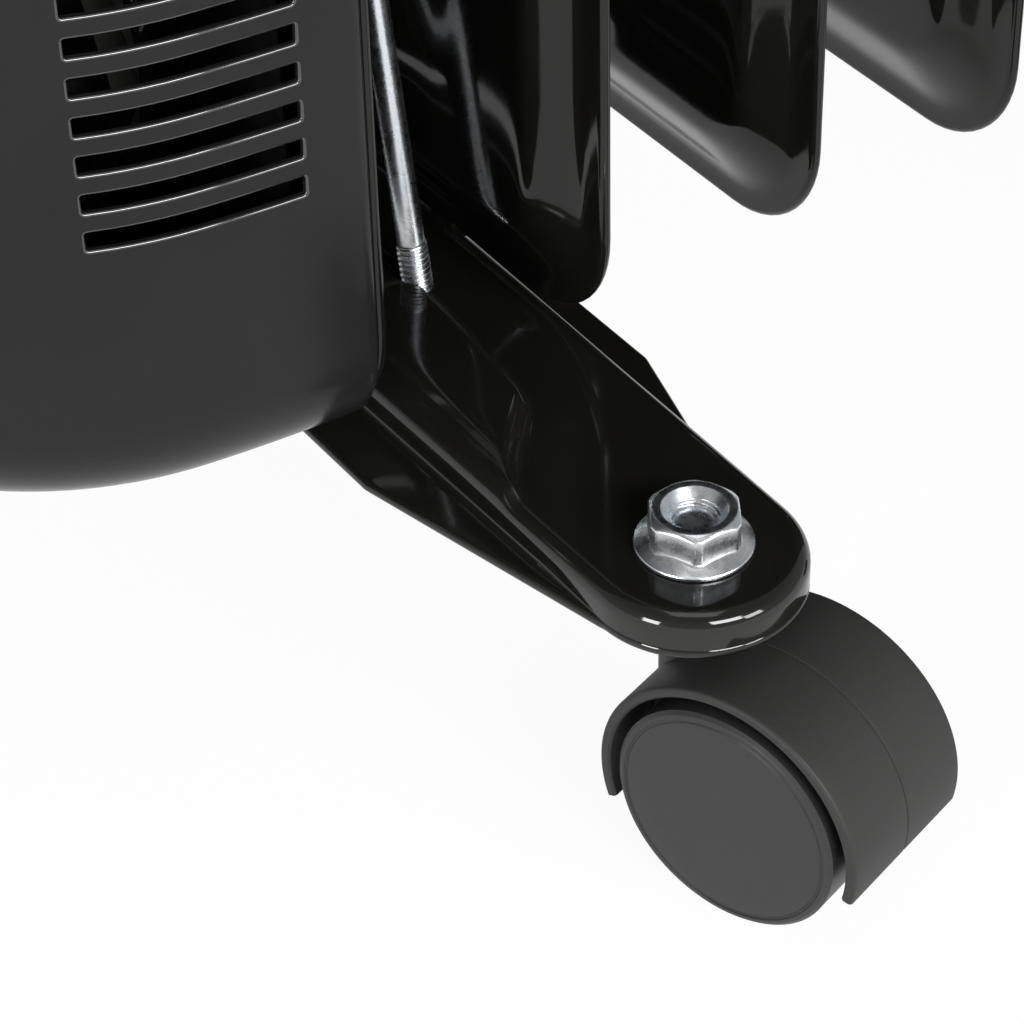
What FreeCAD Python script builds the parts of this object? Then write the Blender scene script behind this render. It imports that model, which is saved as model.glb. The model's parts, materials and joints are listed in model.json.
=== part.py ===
"""Oil-filled column radiator on four twin-wheel casters, in millimetres.

+Z is up, +X is the right-hand side seen from the controls, and the controls face -Y.
The origin lies on the floor, under the middle of the bounding box.
"""
import FreeCAD, Part
import os
from math import acos, asin, atan2, cos, hypot, pi, radians, sin, sqrt, tan

from FreeCAD import Vector

X = Vector(1, 0, 0)
Y = Vector(0, 1, 0)
Z = Vector(0, 0, 1)
O = Vector(0, 0, 0)

# ---- clearances -------------------------------------------------------------
RUNNING = 0.05            # radial, shaft in its bearing
SLIP = 0.2                # radial, screw or pin in a plain hole
SEAT = 0.3                # between rounded neighbours, and under turning parts
OVERCUT = 2.0             # how far a cutting tool runs past the faces it cuts

# ---- casters ----------------------------------------------------------------
WHEEL_R = 20.0
WHEEL_FACE = 15.5         # outer face of a wheel from the middle of its caster
WHEEL_BEVEL = 0.6
WHEEL_RIM = 2.4
WHEEL_WEB = 2.6
WHEEL_HUB_R = 5.6
GROOVE_R = 18.3
GROOVE_WIDTH = 0.5
GROOVE_DEPTH = 0.5
HOOD_CLEARANCE = 2.02
HOOD_WALL = 1.88
HOOD_HALF_WIDTH = 14.77
HOOD_EDGE_R = 0.7
HOOD_OUTER_DROP = 12.5    # degrees below the axle where the hood ends, away from the stem
HOOD_INNER_DROP = 20.0    # degrees below the axle where the hood ends, beside the stem
HOOD_WEB = 3.0            # half thickness of the web between the wheels
HOOD_BOSS_R = 5.3
SOCKET_DEPTH = 26.0
SOCKET_FLOOR = 2.5
TRAIL = 16.75
SWIVEL = 17.72            # degrees, resting direction of each caster from the X axis
AXLE_R = 2.5
AXLE_HALF = 12.5
STEM_JOURNAL_R = 3.4
STEM_COLLAR_R = 6.5
STEM_COLLAR = 2.2
STEM_THREAD_R = 4.0
STEM_STANDOUT = 4.6       # thread end above the foot's plate
CASTER_GAP = 5.1          # hood crown to the foot's lower edge

# ---- feet -------------------------------------------------------------------
FOOT_SHEET = 2.0
SKIRT_DEPTH = 8.05
STEM_X = 115.05
FOOT_END_R = 17.8
FOOT_MID_HALF = 19.3
FOOT_EDGE_R = 3.0
BRIM_FRONT = 29.0
BRIM_REAR = 26.9
BRIM_STRAIGHT = 66.5
BRIM_FRONT_ANGLE = 13.0   # degrees round the end where the front brim runs out
BRIM_REAR_RUN = 31.0
PAD_RISE = 2.6
PAD_INNER_X = 30.0
PAD_OUTER_X = 72.0
PAD_REAR_Y = 1.5
PAD_RAMP_RUN = 18.0
SADDLE_RISE = 2.1
SADDLE_HALF = 27.0
SADDLE_WIDTH = 4.0

# ---- caster nuts ------------------------------------------------------------
NUT_FLATS = 13.8
NUT_HEIGHT = 7.05
NUT_FLANGE_R = 9.3
NUT_FLANGE_RIM = 0.9
NUT_FLANGE_RISE = 2.2
NUT_MOUTH_R = 5.16
NUT_MOUTH_DEPTH = 1.0

# ---- radiator sections ------------------------------------------------------
SECTION_COUNT = 7
SECTION_PITCH = 42.4
SECTION_HALF = 70.0
SECTION_HEIGHT = 565.0
SECTION_CORNER_R = 21.0
SECTION_SHEET = 1.0
SEAM_WIDTH = 5.4          # flat seam round a section
PANEL_RISE = 6.0
CREST_SIDE = 13.0         # panel edge in from the section's side
CREST_END = 15.7          # panel edge in from the section's bottom and top
CREST_R = 11.0
HEADER_INSET = 50.35      # header axis from the section's bottom or top
BOSS_R = 36.0
BOSS_RISE = 3.6
NECK_R = 23.0
END_REACH = 14.0          # end necks from the middle plane of the section
END_DISC = 2.0
FOOT_AHEAD = 16.5         # front foot ahead of the second section's middle plane

# ---- U-bolts ----------------------------------------------------------------
U_ROD_R = 2.3
U_THREAD_R = 2.675
U_THREAD_ABOVE = 8.6
U_LEG_X = 35.5
U_LEG_Y = 2.4
U_TAIL = 13.5             # leg end below the foot's plate
SEAT_BOSS_R = 7.0
SEAT_BOSS_DROP = 1.6
WASHER_R = 6.0
WASHER_THICKNESS = 1.0
WING_HUB_R = 4.6
WING_HUB_HEIGHT = 5.0
WING_SPAN = 11.0
WING_WIDTH = 2.2
WING_DROP = 2.5

# ---- control housing --------------------------------------------------------
SHELL_LIP = 1.2           # housing's side beyond the sections' side
SHELL_GAP = 0.4           # housing's rear edge to the first section's seam
SHELL_OVERHANG = 0.65     # below and above the sections
SHELL_WALL = 2.2
SHELL_EDGE_R = 20.0
SIDE_START = 2.0          # degrees, outward direction of the side at its rear edge
SIDE_ARCS = ((260.0, 8.0), (65.0, 42.0), (28.0, 75.0))   # radius, outward direction where it ends
LOUVRE_COUNT = 20
LOUVRE_PITCH = 6.45
LOUVRE_SLOT = 2.6
LOUVRE_FIRST = 53.5       # lowest slot above the housing's lower edge
LOUVRE_REAR = 10.7        # slot ends from the housing's rear edge
LOUVRE_LENGTH = 33.0

# ---- heat shield ------------------------------------------------------------
SHIELD_SHEET = 1.0
SHIELD_GAP = 3.6          # from the first section's panel
SHIELD_SIDE_GAP = 6.0     # inside the housing's side at its rear edge
SHIELD_HOLE_GAP = 2.0     # round the header bosses
TAB_HALF = 22.0
TAB_LENGTH = 17.0
TAB_SCREW_X = 14.0
TAB_SCREW_INSET = 9.0     # from the shield's face
STUD_INSET = 30.0         # in from the section's side
STUD_HEADER_GAP = 90.0
STUD_R = 4.0
STUD_THREAD_R = 2.0
STUD_NUT_FLATS = 7.0
STUD_NUT_HEIGHT = 3.2
STUD_END = 1.0            # stud beyond its nut
SCREW_R = 1.9
SCREW_HEAD_R = 3.8
SCREW_HEAD = 2.0
SCREW_LENGTH = 9.0

# ---- control panel, knobs and switches --------------------------------------
PANEL_HALF = 36.0
PANEL_HALF_HEIGHT = 85.0
PANEL_CORNER_R = 18.0
PANEL_DOWN = 174.8        # middle of the panel below the housing's top
PANEL_PROUD = 2.0
PANEL_DEPTH = 13.0
PANEL_WALL = 2.4
LUG_HALF = 6.0
LUG_REACH = 6.0
LUG_THICKNESS = 2.4
SHAFT_R = 3.0
SHAFT_IN_KNOB = 9.0
SHAFT_IN_BODY = 8.0
THERMOSTAT_UP = 47.0      # above the panel's lower edge
THERMOSTAT_KNOB_R = 21.0
THERMOSTAT_GRIP_R = 16.5
THERMOSTAT_HALF = 16.0
THERMOSTAT_DEPTH = 26.0
SELECTOR_Z = 24.0         # above the middle of the panel
SELECTOR_KNOB_R = 17.0
SELECTOR_GRIP_R = 13.0
SELECTOR_HALF = 14.0
SELECTOR_DEPTH = 20.0
KNOB_SKIRT = 4.0
KNOB_HEIGHT = 16.5
POINTER_WIDTH = 2.0
POINTER_RISE = 0.8
LENS_DOWN = 23.0          # below the panel's upper edge
LENS_R = 5.0
LENS_PROUD = 1.6
LENS_FLANGE_R = 6.5
LENS_FLANGE = 1.2
LAMP_R = 4.0
LAMP_LENGTH = 14.0

# ---- parts on the heat shield -----------------------------------------------
CUTOUT_X = 26.0
CUTOUT_Z = 250.0
CUTOUT_R = 8.0
CUTOUT_DEPTH = 7.0
CUTOUT_EAR = 13.0
CUTOUT_EAR_HALF = 3.5
CUTOUT_EAR_SHEET = 1.0
TERMINAL_HALF = 22.0
TERMINAL_HEIGHT = 14.0
TERMINAL_DEPTH = 13.0
TERMINAL_Z = 172.0
TERMINAL_WAYS = 4
TERMINAL_HOLE_R = 2.2
TIP_X = -30.0
TIP_Z = 262.0
TIP_HALF = 20.0
TIP_HEIGHT = 44.0
TIP_DEPTH = 18.0
TIP_WALL = 2.0
TIP_PIVOT_DROP = 9.0      # pendulum pivot below the top of its housing
TIP_PIN_R = 1.5
TIP_ARM = 21.0
TIP_ARM_HALF = 2.0
TIP_HUB_R = 3.5
TIP_BOB_R = 6.5
TIP_BOB_THICKNESS = 8.0

# ---- heating element --------------------------------------------------------
TUBE_R = 4.2
TUBE_OFFSET = 8.5
TUBE_SHORT = 30.0         # tube bend ahead of the last section's middle plane
TUBE_STANDOUT = 4.0
PIN_R = 1.8
PIN_LENGTH = 11.0
GASKET = 1.5
GASKET_R = 25.0
PLUG_FLATS = 50.0
PLUG_HEX = 5.0
PLUG_SPIGOT = 6.0
FILLER_R = 5.0
FILLER_FLATS = 14.0
FILLER_HEAD = 5.0
FILLER_LENGTH = 9.0

# ---- carry handle and cord gland --------------------------------------------
HANDLE_INSET = 23.2       # in from the housing's side
HANDLE_POST = 13.0
HANDLE_HEIGHT = 45.0
HANDLE_BAR = 17.0
HANDLE_CORNER_R = 18.0
HANDLE_GAP_R = 8.0
HANDLE_WIDTH = 24.0
HANDLE_EDGE_R = 4.0
HANDLE_BEHIND = 31.0      # middle of the handle ahead of the housing's rear edge
HANDLE_SCREW_DEPTH = 12.0
GLAND_INSET = 33.2        # in from the housing's side
GLAND_AHEAD = 31.0        # ahead of the housing's rear edge
GLAND_BORE_R = 3.75
GLAND_NECK_R = 6.0
GLAND_FLANGE_R = 8.5
GLAND_FLANGE = 2.5
GLAND_NECK = 10.0
GLAND_NUT_FLATS = 17.0
GLAND_NUT = 4.0

# ---- levels and stations that follow ----------------------------------------
HOOD_R = WHEEL_R + HOOD_CLEARANCE + HOOD_WALL
SKIRT_BOTTOM = WHEEL_R + HOOD_R + CASTER_GAP
FOOT_TOP = SKIRT_BOTTOM + SKIRT_DEPTH
FOOT_CEILING = FOOT_TOP - FOOT_SHEET
SECTION_BOTTOM = FOOT_TOP + SADDLE_RISE
SECTION_TOP = SECTION_BOTTOM + SECTION_HEIGHT
HEADER_LOW = SECTION_BOTTOM + HEADER_INSET
HEADER_HIGH = SECTION_TOP - HEADER_INSET
SECTION_FACE = SECTION_SHEET + PANEL_RISE
BOSS_FACE = SECTION_FACE + BOSS_RISE
SHELL_BOTTOM = SECTION_BOTTOM - SHELL_OVERHANG
SHELL_TOP = SECTION_TOP + SHELL_OVERHANG

SECTION_YS = [FOOT_AHEAD + SECTION_PITCH * (k - 1) for k in range(SECTION_COUNT)]
REAR_FOOT_Y = SECTION_PITCH * (SECTION_COUNT - 2)
SHELL_REAR = SECTION_YS[0] - SECTION_SHEET - SHELL_GAP
SHIELD_BACK = SECTION_YS[0] - SECTION_FACE - SHIELD_GAP
SHIELD_FRONT = SHIELD_BACK - SHIELD_SHEET
SHELL_HALF = SECTION_HALF + SHELL_LIP
SHIELD_HALF = SHELL_HALF - SHELL_WALL - SHIELD_SIDE_GAP
STUD_X = SECTION_HALF - STUD_INSET
HEADER_FRONT = SECTION_YS[0] - END_REACH
HEADER_REAR = SECTION_YS[-1] + END_REACH
GASKET_FRONT = HEADER_FRONT - GASKET
PLUG_FRONT = GASKET_FRONT - PLUG_HEX
U_BEND_R = NECK_R + SEAT + U_ROD_R
SHELL_FLOOR = SHELL_BOTTOM + SHELL_WALL
SHELL_CEILING = SHELL_TOP - SHELL_WALL
PANEL_Z = SHELL_TOP - PANEL_DOWN
THERMOSTAT_Z = THERMOSTAT_UP - PANEL_HALF_HEIGHT
LENS_Z = PANEL_HALF_HEIGHT - LENS_DOWN
HANDLE_HALF = SHELL_HALF - HANDLE_INSET
HANDLE_Y = SHELL_REAR - HANDLE_BEHIND
GLAND_X = GLAND_INSET - SHELL_HALF
GLAND_Y = SHELL_REAR - GLAND_AHEAD


# ---- small tools ------------------------------------------------------------
def cylinder(radius, start, end):
    """Cylinder from one point to another."""
    run = end - start
    return Part.makeCylinder(radius, run.Length, start, run)


def cone(radius_a, radius_b, start, end):
    """Cone frustum from one point to another."""
    run = end - start
    return Part.makeCone(radius_a, radius_b, run.Length, start, run)


def block(x0, x1, y0, y1, z0, z1):
    """Box between two corners."""
    return Part.makeBox(x1 - x0, y1 - y0, z1 - z0, Vector(x0, y0, z0))


def prism(points, direction):
    """Solid swept by a polygon along a vector."""
    return Part.Face(Part.makePolygon(points + points[:1])).extrude(direction)


def hexagon(flats, start, direction):
    """Hexagonal bar of a given width across flats, standing on start with a corner along X."""
    corner = flats / sqrt(3)
    points = [Vector(corner * cos(k * pi / 3), corner * sin(k * pi / 3), 0) for k in range(6)]
    bar = prism(points, Z * direction.Length)
    bar.Placement = FreeCAD.Placement(start, FreeCAD.Rotation(Z, direction))
    return bar


def rounded_loop(half, z0, z1, radius, y):
    """Rounded rectangle in a plane of constant y."""
    edges = []
    corners = ((half - radius, z1 - radius, 0), (radius - half, z1 - radius, 90),
               (radius - half, z0 + radius, 180), (half - radius, z0 + radius, 270))
    ends = []
    for cx, cz, start in corners:
        ring = [Vector(cx + radius * cos(radians(start + a)), y, cz + radius * sin(radians(start + a)))
                for a in (0, 45, 90)]
        ends.append(ring)
    for k, ring in enumerate(ends):
        edges.append(Part.Arc(*ring).toShape())
        edges.append(Part.LineSegment(ring[2], ends[(k + 1) % 4][0]).toShape())
    return Part.Wire(edges)


def rounded_plate(half, z0, z1, radius, y0, y1):
    """Rounded rectangular plate between two planes of constant y."""
    return Part.Face(rounded_loop(half, z0, z1, radius, y0)).extrude(Vector(0, y1 - y0, 0))


def mirrored(shape):
    """The same piece on the other side of the middle plane."""
    return shape.mirror(O, X)


def both_sides(shape):
    """A piece and its mirror image."""
    return [shape, mirrored(shape)]


def at_both_feet(shapes):
    """Copies at the front foot and at the rear foot."""
    rear = [shape.translated(Vector(0, REAR_FOOT_Y, 0)) for shape in shapes]
    return shapes + rear


# ---- radiator sections and oil circuit --------------------------------------
def pillow(inset, depth, side):
    """Raised panel on one side of a section, moved in by inset, out to depth from the middle."""
    foot = SEAM_WIDTH + inset
    loops = [
        rounded_loop(SECTION_HALF - foot, SECTION_BOTTOM + foot, SECTION_TOP - foot,
                     SECTION_CORNER_R - foot, 0),
        rounded_loop(SECTION_HALF - CREST_SIDE - inset, SECTION_BOTTOM + CREST_END + inset,
                     SECTION_TOP - CREST_END - inset, CREST_R - inset, side * depth)]
    return Part.makeLoft(loops, True, True)


def header_forms(inset, side, reach):
    """Boss and neck of both headers on one side of a section, moved in by inset."""
    forms = []
    for z in (HEADER_LOW, HEADER_HIGH):
        start = Vector(0, 0, z)
        face = Vector(0, side * (SECTION_FACE - inset), z)
        top = Vector(0, side * (BOSS_FACE - inset), z)
        forms.append(cylinder(NECK_R - inset, start, Vector(0, side * reach, z)))
        forms.append(cone(BOSS_R - inset, NECK_R - inset, face, top))
    return forms


def section(front_reach, rear_reach):
    """One hollow section of two pressed sheets, seamed round the edge."""
    seam = rounded_plate(SECTION_HALF, SECTION_BOTTOM, SECTION_TOP, SECTION_CORNER_R,
                         -SECTION_SHEET, SECTION_SHEET)
    outer = [pillow(0, SECTION_FACE, 1), pillow(0, SECTION_FACE, -1)]
    outer += header_forms(0, 1, rear_reach) + header_forms(0, -1, front_reach)
    body = seam.fuse(outer)
    hollow = pillow(SECTION_SHEET, PANEL_RISE, 1).fuse(
        [pillow(SECTION_SHEET, PANEL_RISE, -1)]
        + header_forms(SECTION_SHEET, 1, rear_reach + OVERCUT)
        + header_forms(SECTION_SHEET, -1, front_reach + OVERCUT))
    return body.cut(hollow)


def sections():
    """All sections, joined neck to neck."""
    half_pitch = SECTION_PITCH / 2
    nodes = {}
    for k, y in enumerate(SECTION_YS):
        front = END_REACH if k == 0 else half_pitch
        rear = END_REACH if k == SECTION_COUNT - 1 else half_pitch
        nodes["section_%d" % (k + 1)] = section(front, rear).translated(Vector(0, y, 0))
    return nodes


def closing_discs():
    """Discs that close the headers, one of them holed for the filler plug."""
    front = cylinder(NECK_R, Vector(0, HEADER_FRONT - END_DISC, HEADER_HIGH), Vector(0, HEADER_FRONT, HEADER_HIGH))
    low = cylinder(NECK_R, Vector(0, HEADER_REAR, HEADER_LOW), Vector(0, HEADER_REAR + END_DISC, HEADER_LOW))
    high = cylinder(NECK_R, Vector(0, HEADER_REAR, HEADER_HIGH), Vector(0, HEADER_REAR + END_DISC, HEADER_HIGH))
    hole = cylinder(FILLER_R, Vector(0, HEADER_REAR - OVERCUT, HEADER_HIGH),
                    Vector(0, HEADER_REAR + END_DISC + OVERCUT, HEADER_HIGH))
    return Part.makeCompound([front, low, high.cut(hole)])


def filler_plug():
    """Hexagon-headed plug in the rear upper disc."""
    seat = Vector(0, HEADER_REAR + END_DISC, HEADER_HIGH)
    head = hexagon(FILLER_FLATS, seat, Y * FILLER_HEAD)
    return head.fuse(cylinder(FILLER_R, seat - Y * FILLER_LENGTH, seat))


def element_tubes():
    """Two U-bent heating tubes lying in the lower header."""
    near = PLUG_FRONT - TUBE_STANDOUT
    far = SECTION_YS[-1] - TUBE_SHORT
    tubes = []
    for side in (-1, 1):
        z = HEADER_LOW + side * TUBE_OFFSET
        right = Vector(TUBE_OFFSET, far, z)
        left = Vector(-TUBE_OFFSET, far, z)
        path = Part.Wire([Part.LineSegment(Vector(TUBE_OFFSET, near, z), right).toShape(),
                          Part.Arc(right, Vector(0, far + TUBE_OFFSET, z), left).toShape(),
                          Part.LineSegment(left, Vector(-TUBE_OFFSET, near, z)).toShape()])
        ring = Part.Wire([Part.makeCircle(TUBE_R, Vector(TUBE_OFFSET, near, z), Y)])
        tubes.append(path.makePipeShell([ring], True, False))
    return tubes


def element_plug(tubes):
    """Hexagon plug that carries the heating tubes."""
    plug = hexagon(PLUG_FLATS, Vector(0, GASKET_FRONT, HEADER_LOW), Y * -PLUG_HEX)
    spigot = cylinder(NECK_R - SECTION_SHEET - RUNNING, Vector(0, GASKET_FRONT, HEADER_LOW),
                      Vector(0, HEADER_FRONT + PLUG_SPIGOT, HEADER_LOW))
    return plug.fuse(spigot).cut(tubes)


def element_gasket():
    """Flat ring between the header neck and the plug."""
    start = Vector(0, GASKET_FRONT, HEADER_LOW)
    end = Vector(0, HEADER_FRONT, HEADER_LOW)
    return cylinder(GASKET_R, start, end).cut(cylinder(NECK_R - SECTION_SHEET, start - Y, end + Y))


def element_pins():
    """Terminal pins at the tube ends."""
    near = PLUG_FRONT - TUBE_STANDOUT
    pins = []
    for dx in (-TUBE_OFFSET, TUBE_OFFSET):
        for dz in (-TUBE_OFFSET, TUBE_OFFSET):
            start = Vector(dx, near, HEADER_LOW + dz)
            pins.append(cylinder(PIN_R, start, start - Y * PIN_LENGTH))
    return Part.makeCompound(pins)


# ---- feet -------------------------------------------------------------------
def foot_plan(inset, z):
    """Plan of the foot's plate, moved in by inset: two round ends joined by tapering sides."""
    end_r = FOOT_END_R - inset
    mid = FOOT_MID_HALF - inset
    turn = acos(end_r / hypot(mid, STEM_X)) - atan2(STEM_X, mid)
    tx = STEM_X + end_r * sin(turn)
    ty = end_r * cos(turn)
    corners = [Vector(tx, -ty, z), Vector(tx, ty, z), Vector(0, mid, z),
               Vector(-tx, ty, z), Vector(-tx, -ty, z), Vector(0, -mid, z)]
    edges = [Part.Arc(corners[0], Vector(STEM_X + end_r, 0, z), corners[1]).toShape(),
             Part.LineSegment(corners[1], corners[2]).toShape(),
             Part.LineSegment(corners[2], corners[3]).toShape(),
             Part.Arc(corners[3], Vector(-STEM_X - end_r, 0, z), corners[4]).toShape(),
             Part.LineSegment(corners[4], corners[5]).toShape(),
             Part.LineSegment(corners[5], corners[0]).toShape()]
    return Part.Face(Part.Wire(edges))


def rounded_top(solid, z, radius):
    """Rounds the edges that lie at one level."""
    edges = [e for e in solid.Edges if abs(e.BoundBox.ZMin - z) < 1e-6 and abs(e.BoundBox.ZMax - z) < 1e-6]
    return solid.makeFillet(radius, edges)


def brim():
    """Flat brim round the foot's lower edge."""
    angle = radians(BRIM_FRONT_ANGLE)
    reach = FOOT_END_R - SLIP
    front_end = Vector(STEM_X + reach * sin(angle), -reach * cos(angle), SKIRT_BOTTOM)
    rear_end = Vector(BRIM_STRAIGHT + BRIM_REAR_RUN, reach, SKIRT_BOTTOM)
    half = [front_end, rear_end, Vector(BRIM_STRAIGHT, BRIM_REAR, SKIRT_BOTTOM)]
    other = [Vector(-p.x, p.y, p.z) for p in (half[2], half[1], half[0])]
    front = [Vector(-BRIM_STRAIGHT, -BRIM_FRONT, SKIRT_BOTTOM), Vector(BRIM_STRAIGHT, -BRIM_FRONT, SKIRT_BOTTOM)]
    return prism(half + other + front, Z * FOOT_SHEET)


def leg_lean():
    """Angle of a U-bolt leg from the vertical."""
    rise = HEADER_LOW - FOOT_TOP
    return atan2(U_LEG_X, rise) - asin(U_BEND_R / hypot(U_LEG_X, rise))


def leg_point(height):
    """Point of the right leg's centre line at a height above the foot's plate."""
    return Vector(U_LEG_X - height * tan(leg_lean()), U_LEG_Y, FOOT_TOP + height)


def leg_down():
    """Unit vector down the right leg."""
    return (leg_point(-1) - leg_point(0)).normalize()


def seat_point():
    """Where the leg's washer meets the seat pressed under the plate."""
    return leg_point(-FOOT_SHEET - SEAT_BOSS_DROP)


def raised_pad():
    """Stiffening pad pressed up in the plate between a U-bolt leg and the foot's end."""
    front = -FOOT_MID_HALF + FOOT_EDGE_R
    base = FOOT_TOP - FOOT_SHEET / 2
    wedge = [Vector(0, PAD_REAR_Y, base), Vector(0, PAD_REAR_Y, FOOT_TOP + PAD_RISE),
             Vector(0, front, FOOT_TOP), Vector(0, front, base)]
    ridge = prism(wedge, X * (PAD_OUTER_X + PAD_RAMP_RUN))
    plan = [Vector(PAD_INNER_X, front, base), Vector(PAD_OUTER_X + PAD_RAMP_RUN, front, base),
            Vector(PAD_OUTER_X, PAD_REAR_Y, base), Vector(PAD_INNER_X, PAD_REAR_Y, base)]
    return ridge.common(prism(plan, Z * (FOOT_SHEET + PAD_RISE)))


def foot():
    """Pressed steel foot with its skirt, brim, pads, seats and holes."""
    rise = Z * SKIRT_DEPTH
    body = rounded_top(foot_plan(0, SKIRT_BOTTOM).extrude(rise), FOOT_TOP, FOOT_EDGE_R)
    hollow = rounded_top(foot_plan(FOOT_SHEET, SKIRT_BOTTOM - OVERCUT).extrude(Z * (SKIRT_DEPTH - FOOT_SHEET + OVERCUT)),
                         FOOT_CEILING, FOOT_EDGE_R - FOOT_SHEET / 2)
    body = body.fuse(brim()).cut(hollow)
    saddle_y = SECTION_YS[1]
    saddle = block(-SADDLE_HALF, SADDLE_HALF, saddle_y - SADDLE_WIDTH / 2, saddle_y + SADDLE_WIDTH / 2 - SEAT,
                   FOOT_CEILING, SECTION_BOTTOM)
    boss = cylinder(SEAT_BOSS_R, leg_point(-FOOT_SHEET / 2), seat_point())
    body = body.fuse([saddle] + both_sides(raised_pad()) + both_sides(boss))
    leg_hole = cylinder(U_THREAD_R + SLIP, leg_point(U_THREAD_ABOVE), leg_point(-U_TAIL))
    stem_hole = cylinder(STEM_THREAD_R + SLIP, Vector(STEM_X, 0, SKIRT_BOTTOM), Vector(STEM_X, 0, FOOT_TOP + OVERCUT))
    return body.cut(both_sides(leg_hole) + both_sides(stem_hole))


# ---- U-bolts and their fixings ----------------------------------------------
def u_bolt():
    """U-bolt over the header neck, with threaded legs."""
    lean = leg_lean()
    touch = Vector(U_BEND_R * cos(lean), U_LEG_Y, HEADER_LOW + U_BEND_R * sin(lean))
    top = Vector(0, U_LEG_Y, HEADER_LOW + U_BEND_R)
    tail = leg_point(-U_TAIL)
    far_touch = Vector(-touch.x, touch.y, touch.z)
    far_tail = Vector(-tail.x, tail.y, tail.z)
    path = Part.Wire([Part.LineSegment(tail, touch).toShape(), Part.Arc(touch, top, far_touch).toShape(),
                      Part.LineSegment(far_touch, far_tail).toShape()])
    ring = Part.Wire([Part.makeCircle(U_ROD_R, tail, touch - tail)])
    rod = path.makePipeShell([ring], True, False)
    thread = cylinder(U_THREAD_R, tail, leg_point(U_THREAD_ABOVE))
    return rod.fuse(both_sides(thread))


def washer():
    """Flat washer under the right leg's seat."""
    start = seat_point()
    end = start + leg_down() * WASHER_THICKNESS
    return cylinder(WASHER_R, start, end).cut(cylinder(U_THREAD_R + SLIP, start - leg_down(), end + leg_down()))


def wing_nut():
    """Wing nut on the right leg."""
    down = leg_down()
    start = seat_point() + down * WASHER_THICKNESS
    hub = cylinder(WING_HUB_R, start, start + down * WING_HUB_HEIGHT)
    wings = block(-WING_SPAN, WING_SPAN, -WING_WIDTH / 2, WING_WIDTH / 2, WING_DROP, WING_DROP + WING_HUB_HEIGHT)
    waist = Part.makeCylinder(WING_HUB_R, WING_HUB_HEIGHT, Vector(0, 0, WING_HUB_HEIGHT))
    wings = wings.cut(waist)
    wings.Placement = FreeCAD.Placement(start, FreeCAD.Rotation(Z, down))
    bore = cylinder(U_THREAD_R, start - down, start + down * (WING_HUB_HEIGHT + WING_DROP + 1))
    return hub.fuse(wings).cut(bore)


# ---- caster stems and nuts --------------------------------------------------
def stem():
    """Stepped steel stem fixed in the foot, on which a caster swivels."""
    collar_bottom = FOOT_CEILING - STEM_COLLAR
    journal_end = collar_bottom - SOCKET_DEPTH + SEAT
    journal = cylinder(STEM_JOURNAL_R, Vector(0, 0, journal_end), Vector(0, 0, collar_bottom))
    collar = cylinder(STEM_COLLAR_R, Vector(0, 0, collar_bottom), Vector(0, 0, FOOT_CEILING))
    thread = cylinder(STEM_THREAD_R, Vector(0, 0, FOOT_CEILING), Vector(0, 0, FOOT_TOP + STEM_STANDOUT))
    return journal.fuse([collar, thread]).translated(Vector(STEM_X, 0, 0))


def caster_nut():
    """Hexagon flange nut on top of the foot."""
    seat = Vector(0, 0, FOOT_TOP)
    crown = Vector(0, 0, FOOT_TOP + NUT_HEIGHT)
    corner = NUT_FLATS / sqrt(3)
    bar = hexagon(NUT_FLATS, seat, Z * NUT_HEIGHT)
    chamfer = cone(corner + NUT_HEIGHT * 1.7, NUT_FLATS / 2, seat, crown)
    rim = cylinder(NUT_FLANGE_R, seat, seat + Z * NUT_FLANGE_RIM)
    flange = cone(NUT_FLANGE_R, NUT_FLATS / 2, seat + Z * NUT_FLANGE_RIM, seat + Z * NUT_FLANGE_RISE)
    bore = cylinder(STEM_THREAD_R, seat - Z, crown + Z)
    mouth = cone(STEM_THREAD_R, NUT_MOUTH_R, crown - Z * NUT_MOUTH_DEPTH, crown)
    nut = bar.common(chamfer).fuse([rim, flange]).cut([bore, mouth])
    return nut.translated(Vector(STEM_X, 0, 0))


# ---- casters ----------------------------------------------------------------
# A caster is drawn with its stem on the Z axis and its wheels' axle parallel to Y at x = TRAIL.
def axle_point(y):
    """Point on the axle's centre line."""
    return Vector(TRAIL, y, WHEEL_R)


def hood_sector(radius, half_width):
    """Part of a cylinder round the axle that stops where the hood stops."""
    disc = Part.makeCylinder(radius, 2 * half_width, axle_point(-half_width), Y)
    reach = 2 * HOOD_R
    outer = radians(HOOD_OUTER_DROP)
    inner = radians(HOOD_INNER_DROP)
    below = [axle_point(-reach), axle_point(-reach) + Vector(reach * cos(outer), 0, -reach * sin(outer)),
             axle_point(-reach) + Vector(reach, 0, -2 * reach), axle_point(-reach) + Vector(-reach, 0, -2 * reach),
             axle_point(-reach) + Vector(-reach * cos(inner), 0, -reach * sin(inner))]
    return disc.cut(prism(below, Y * 2 * reach))


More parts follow.
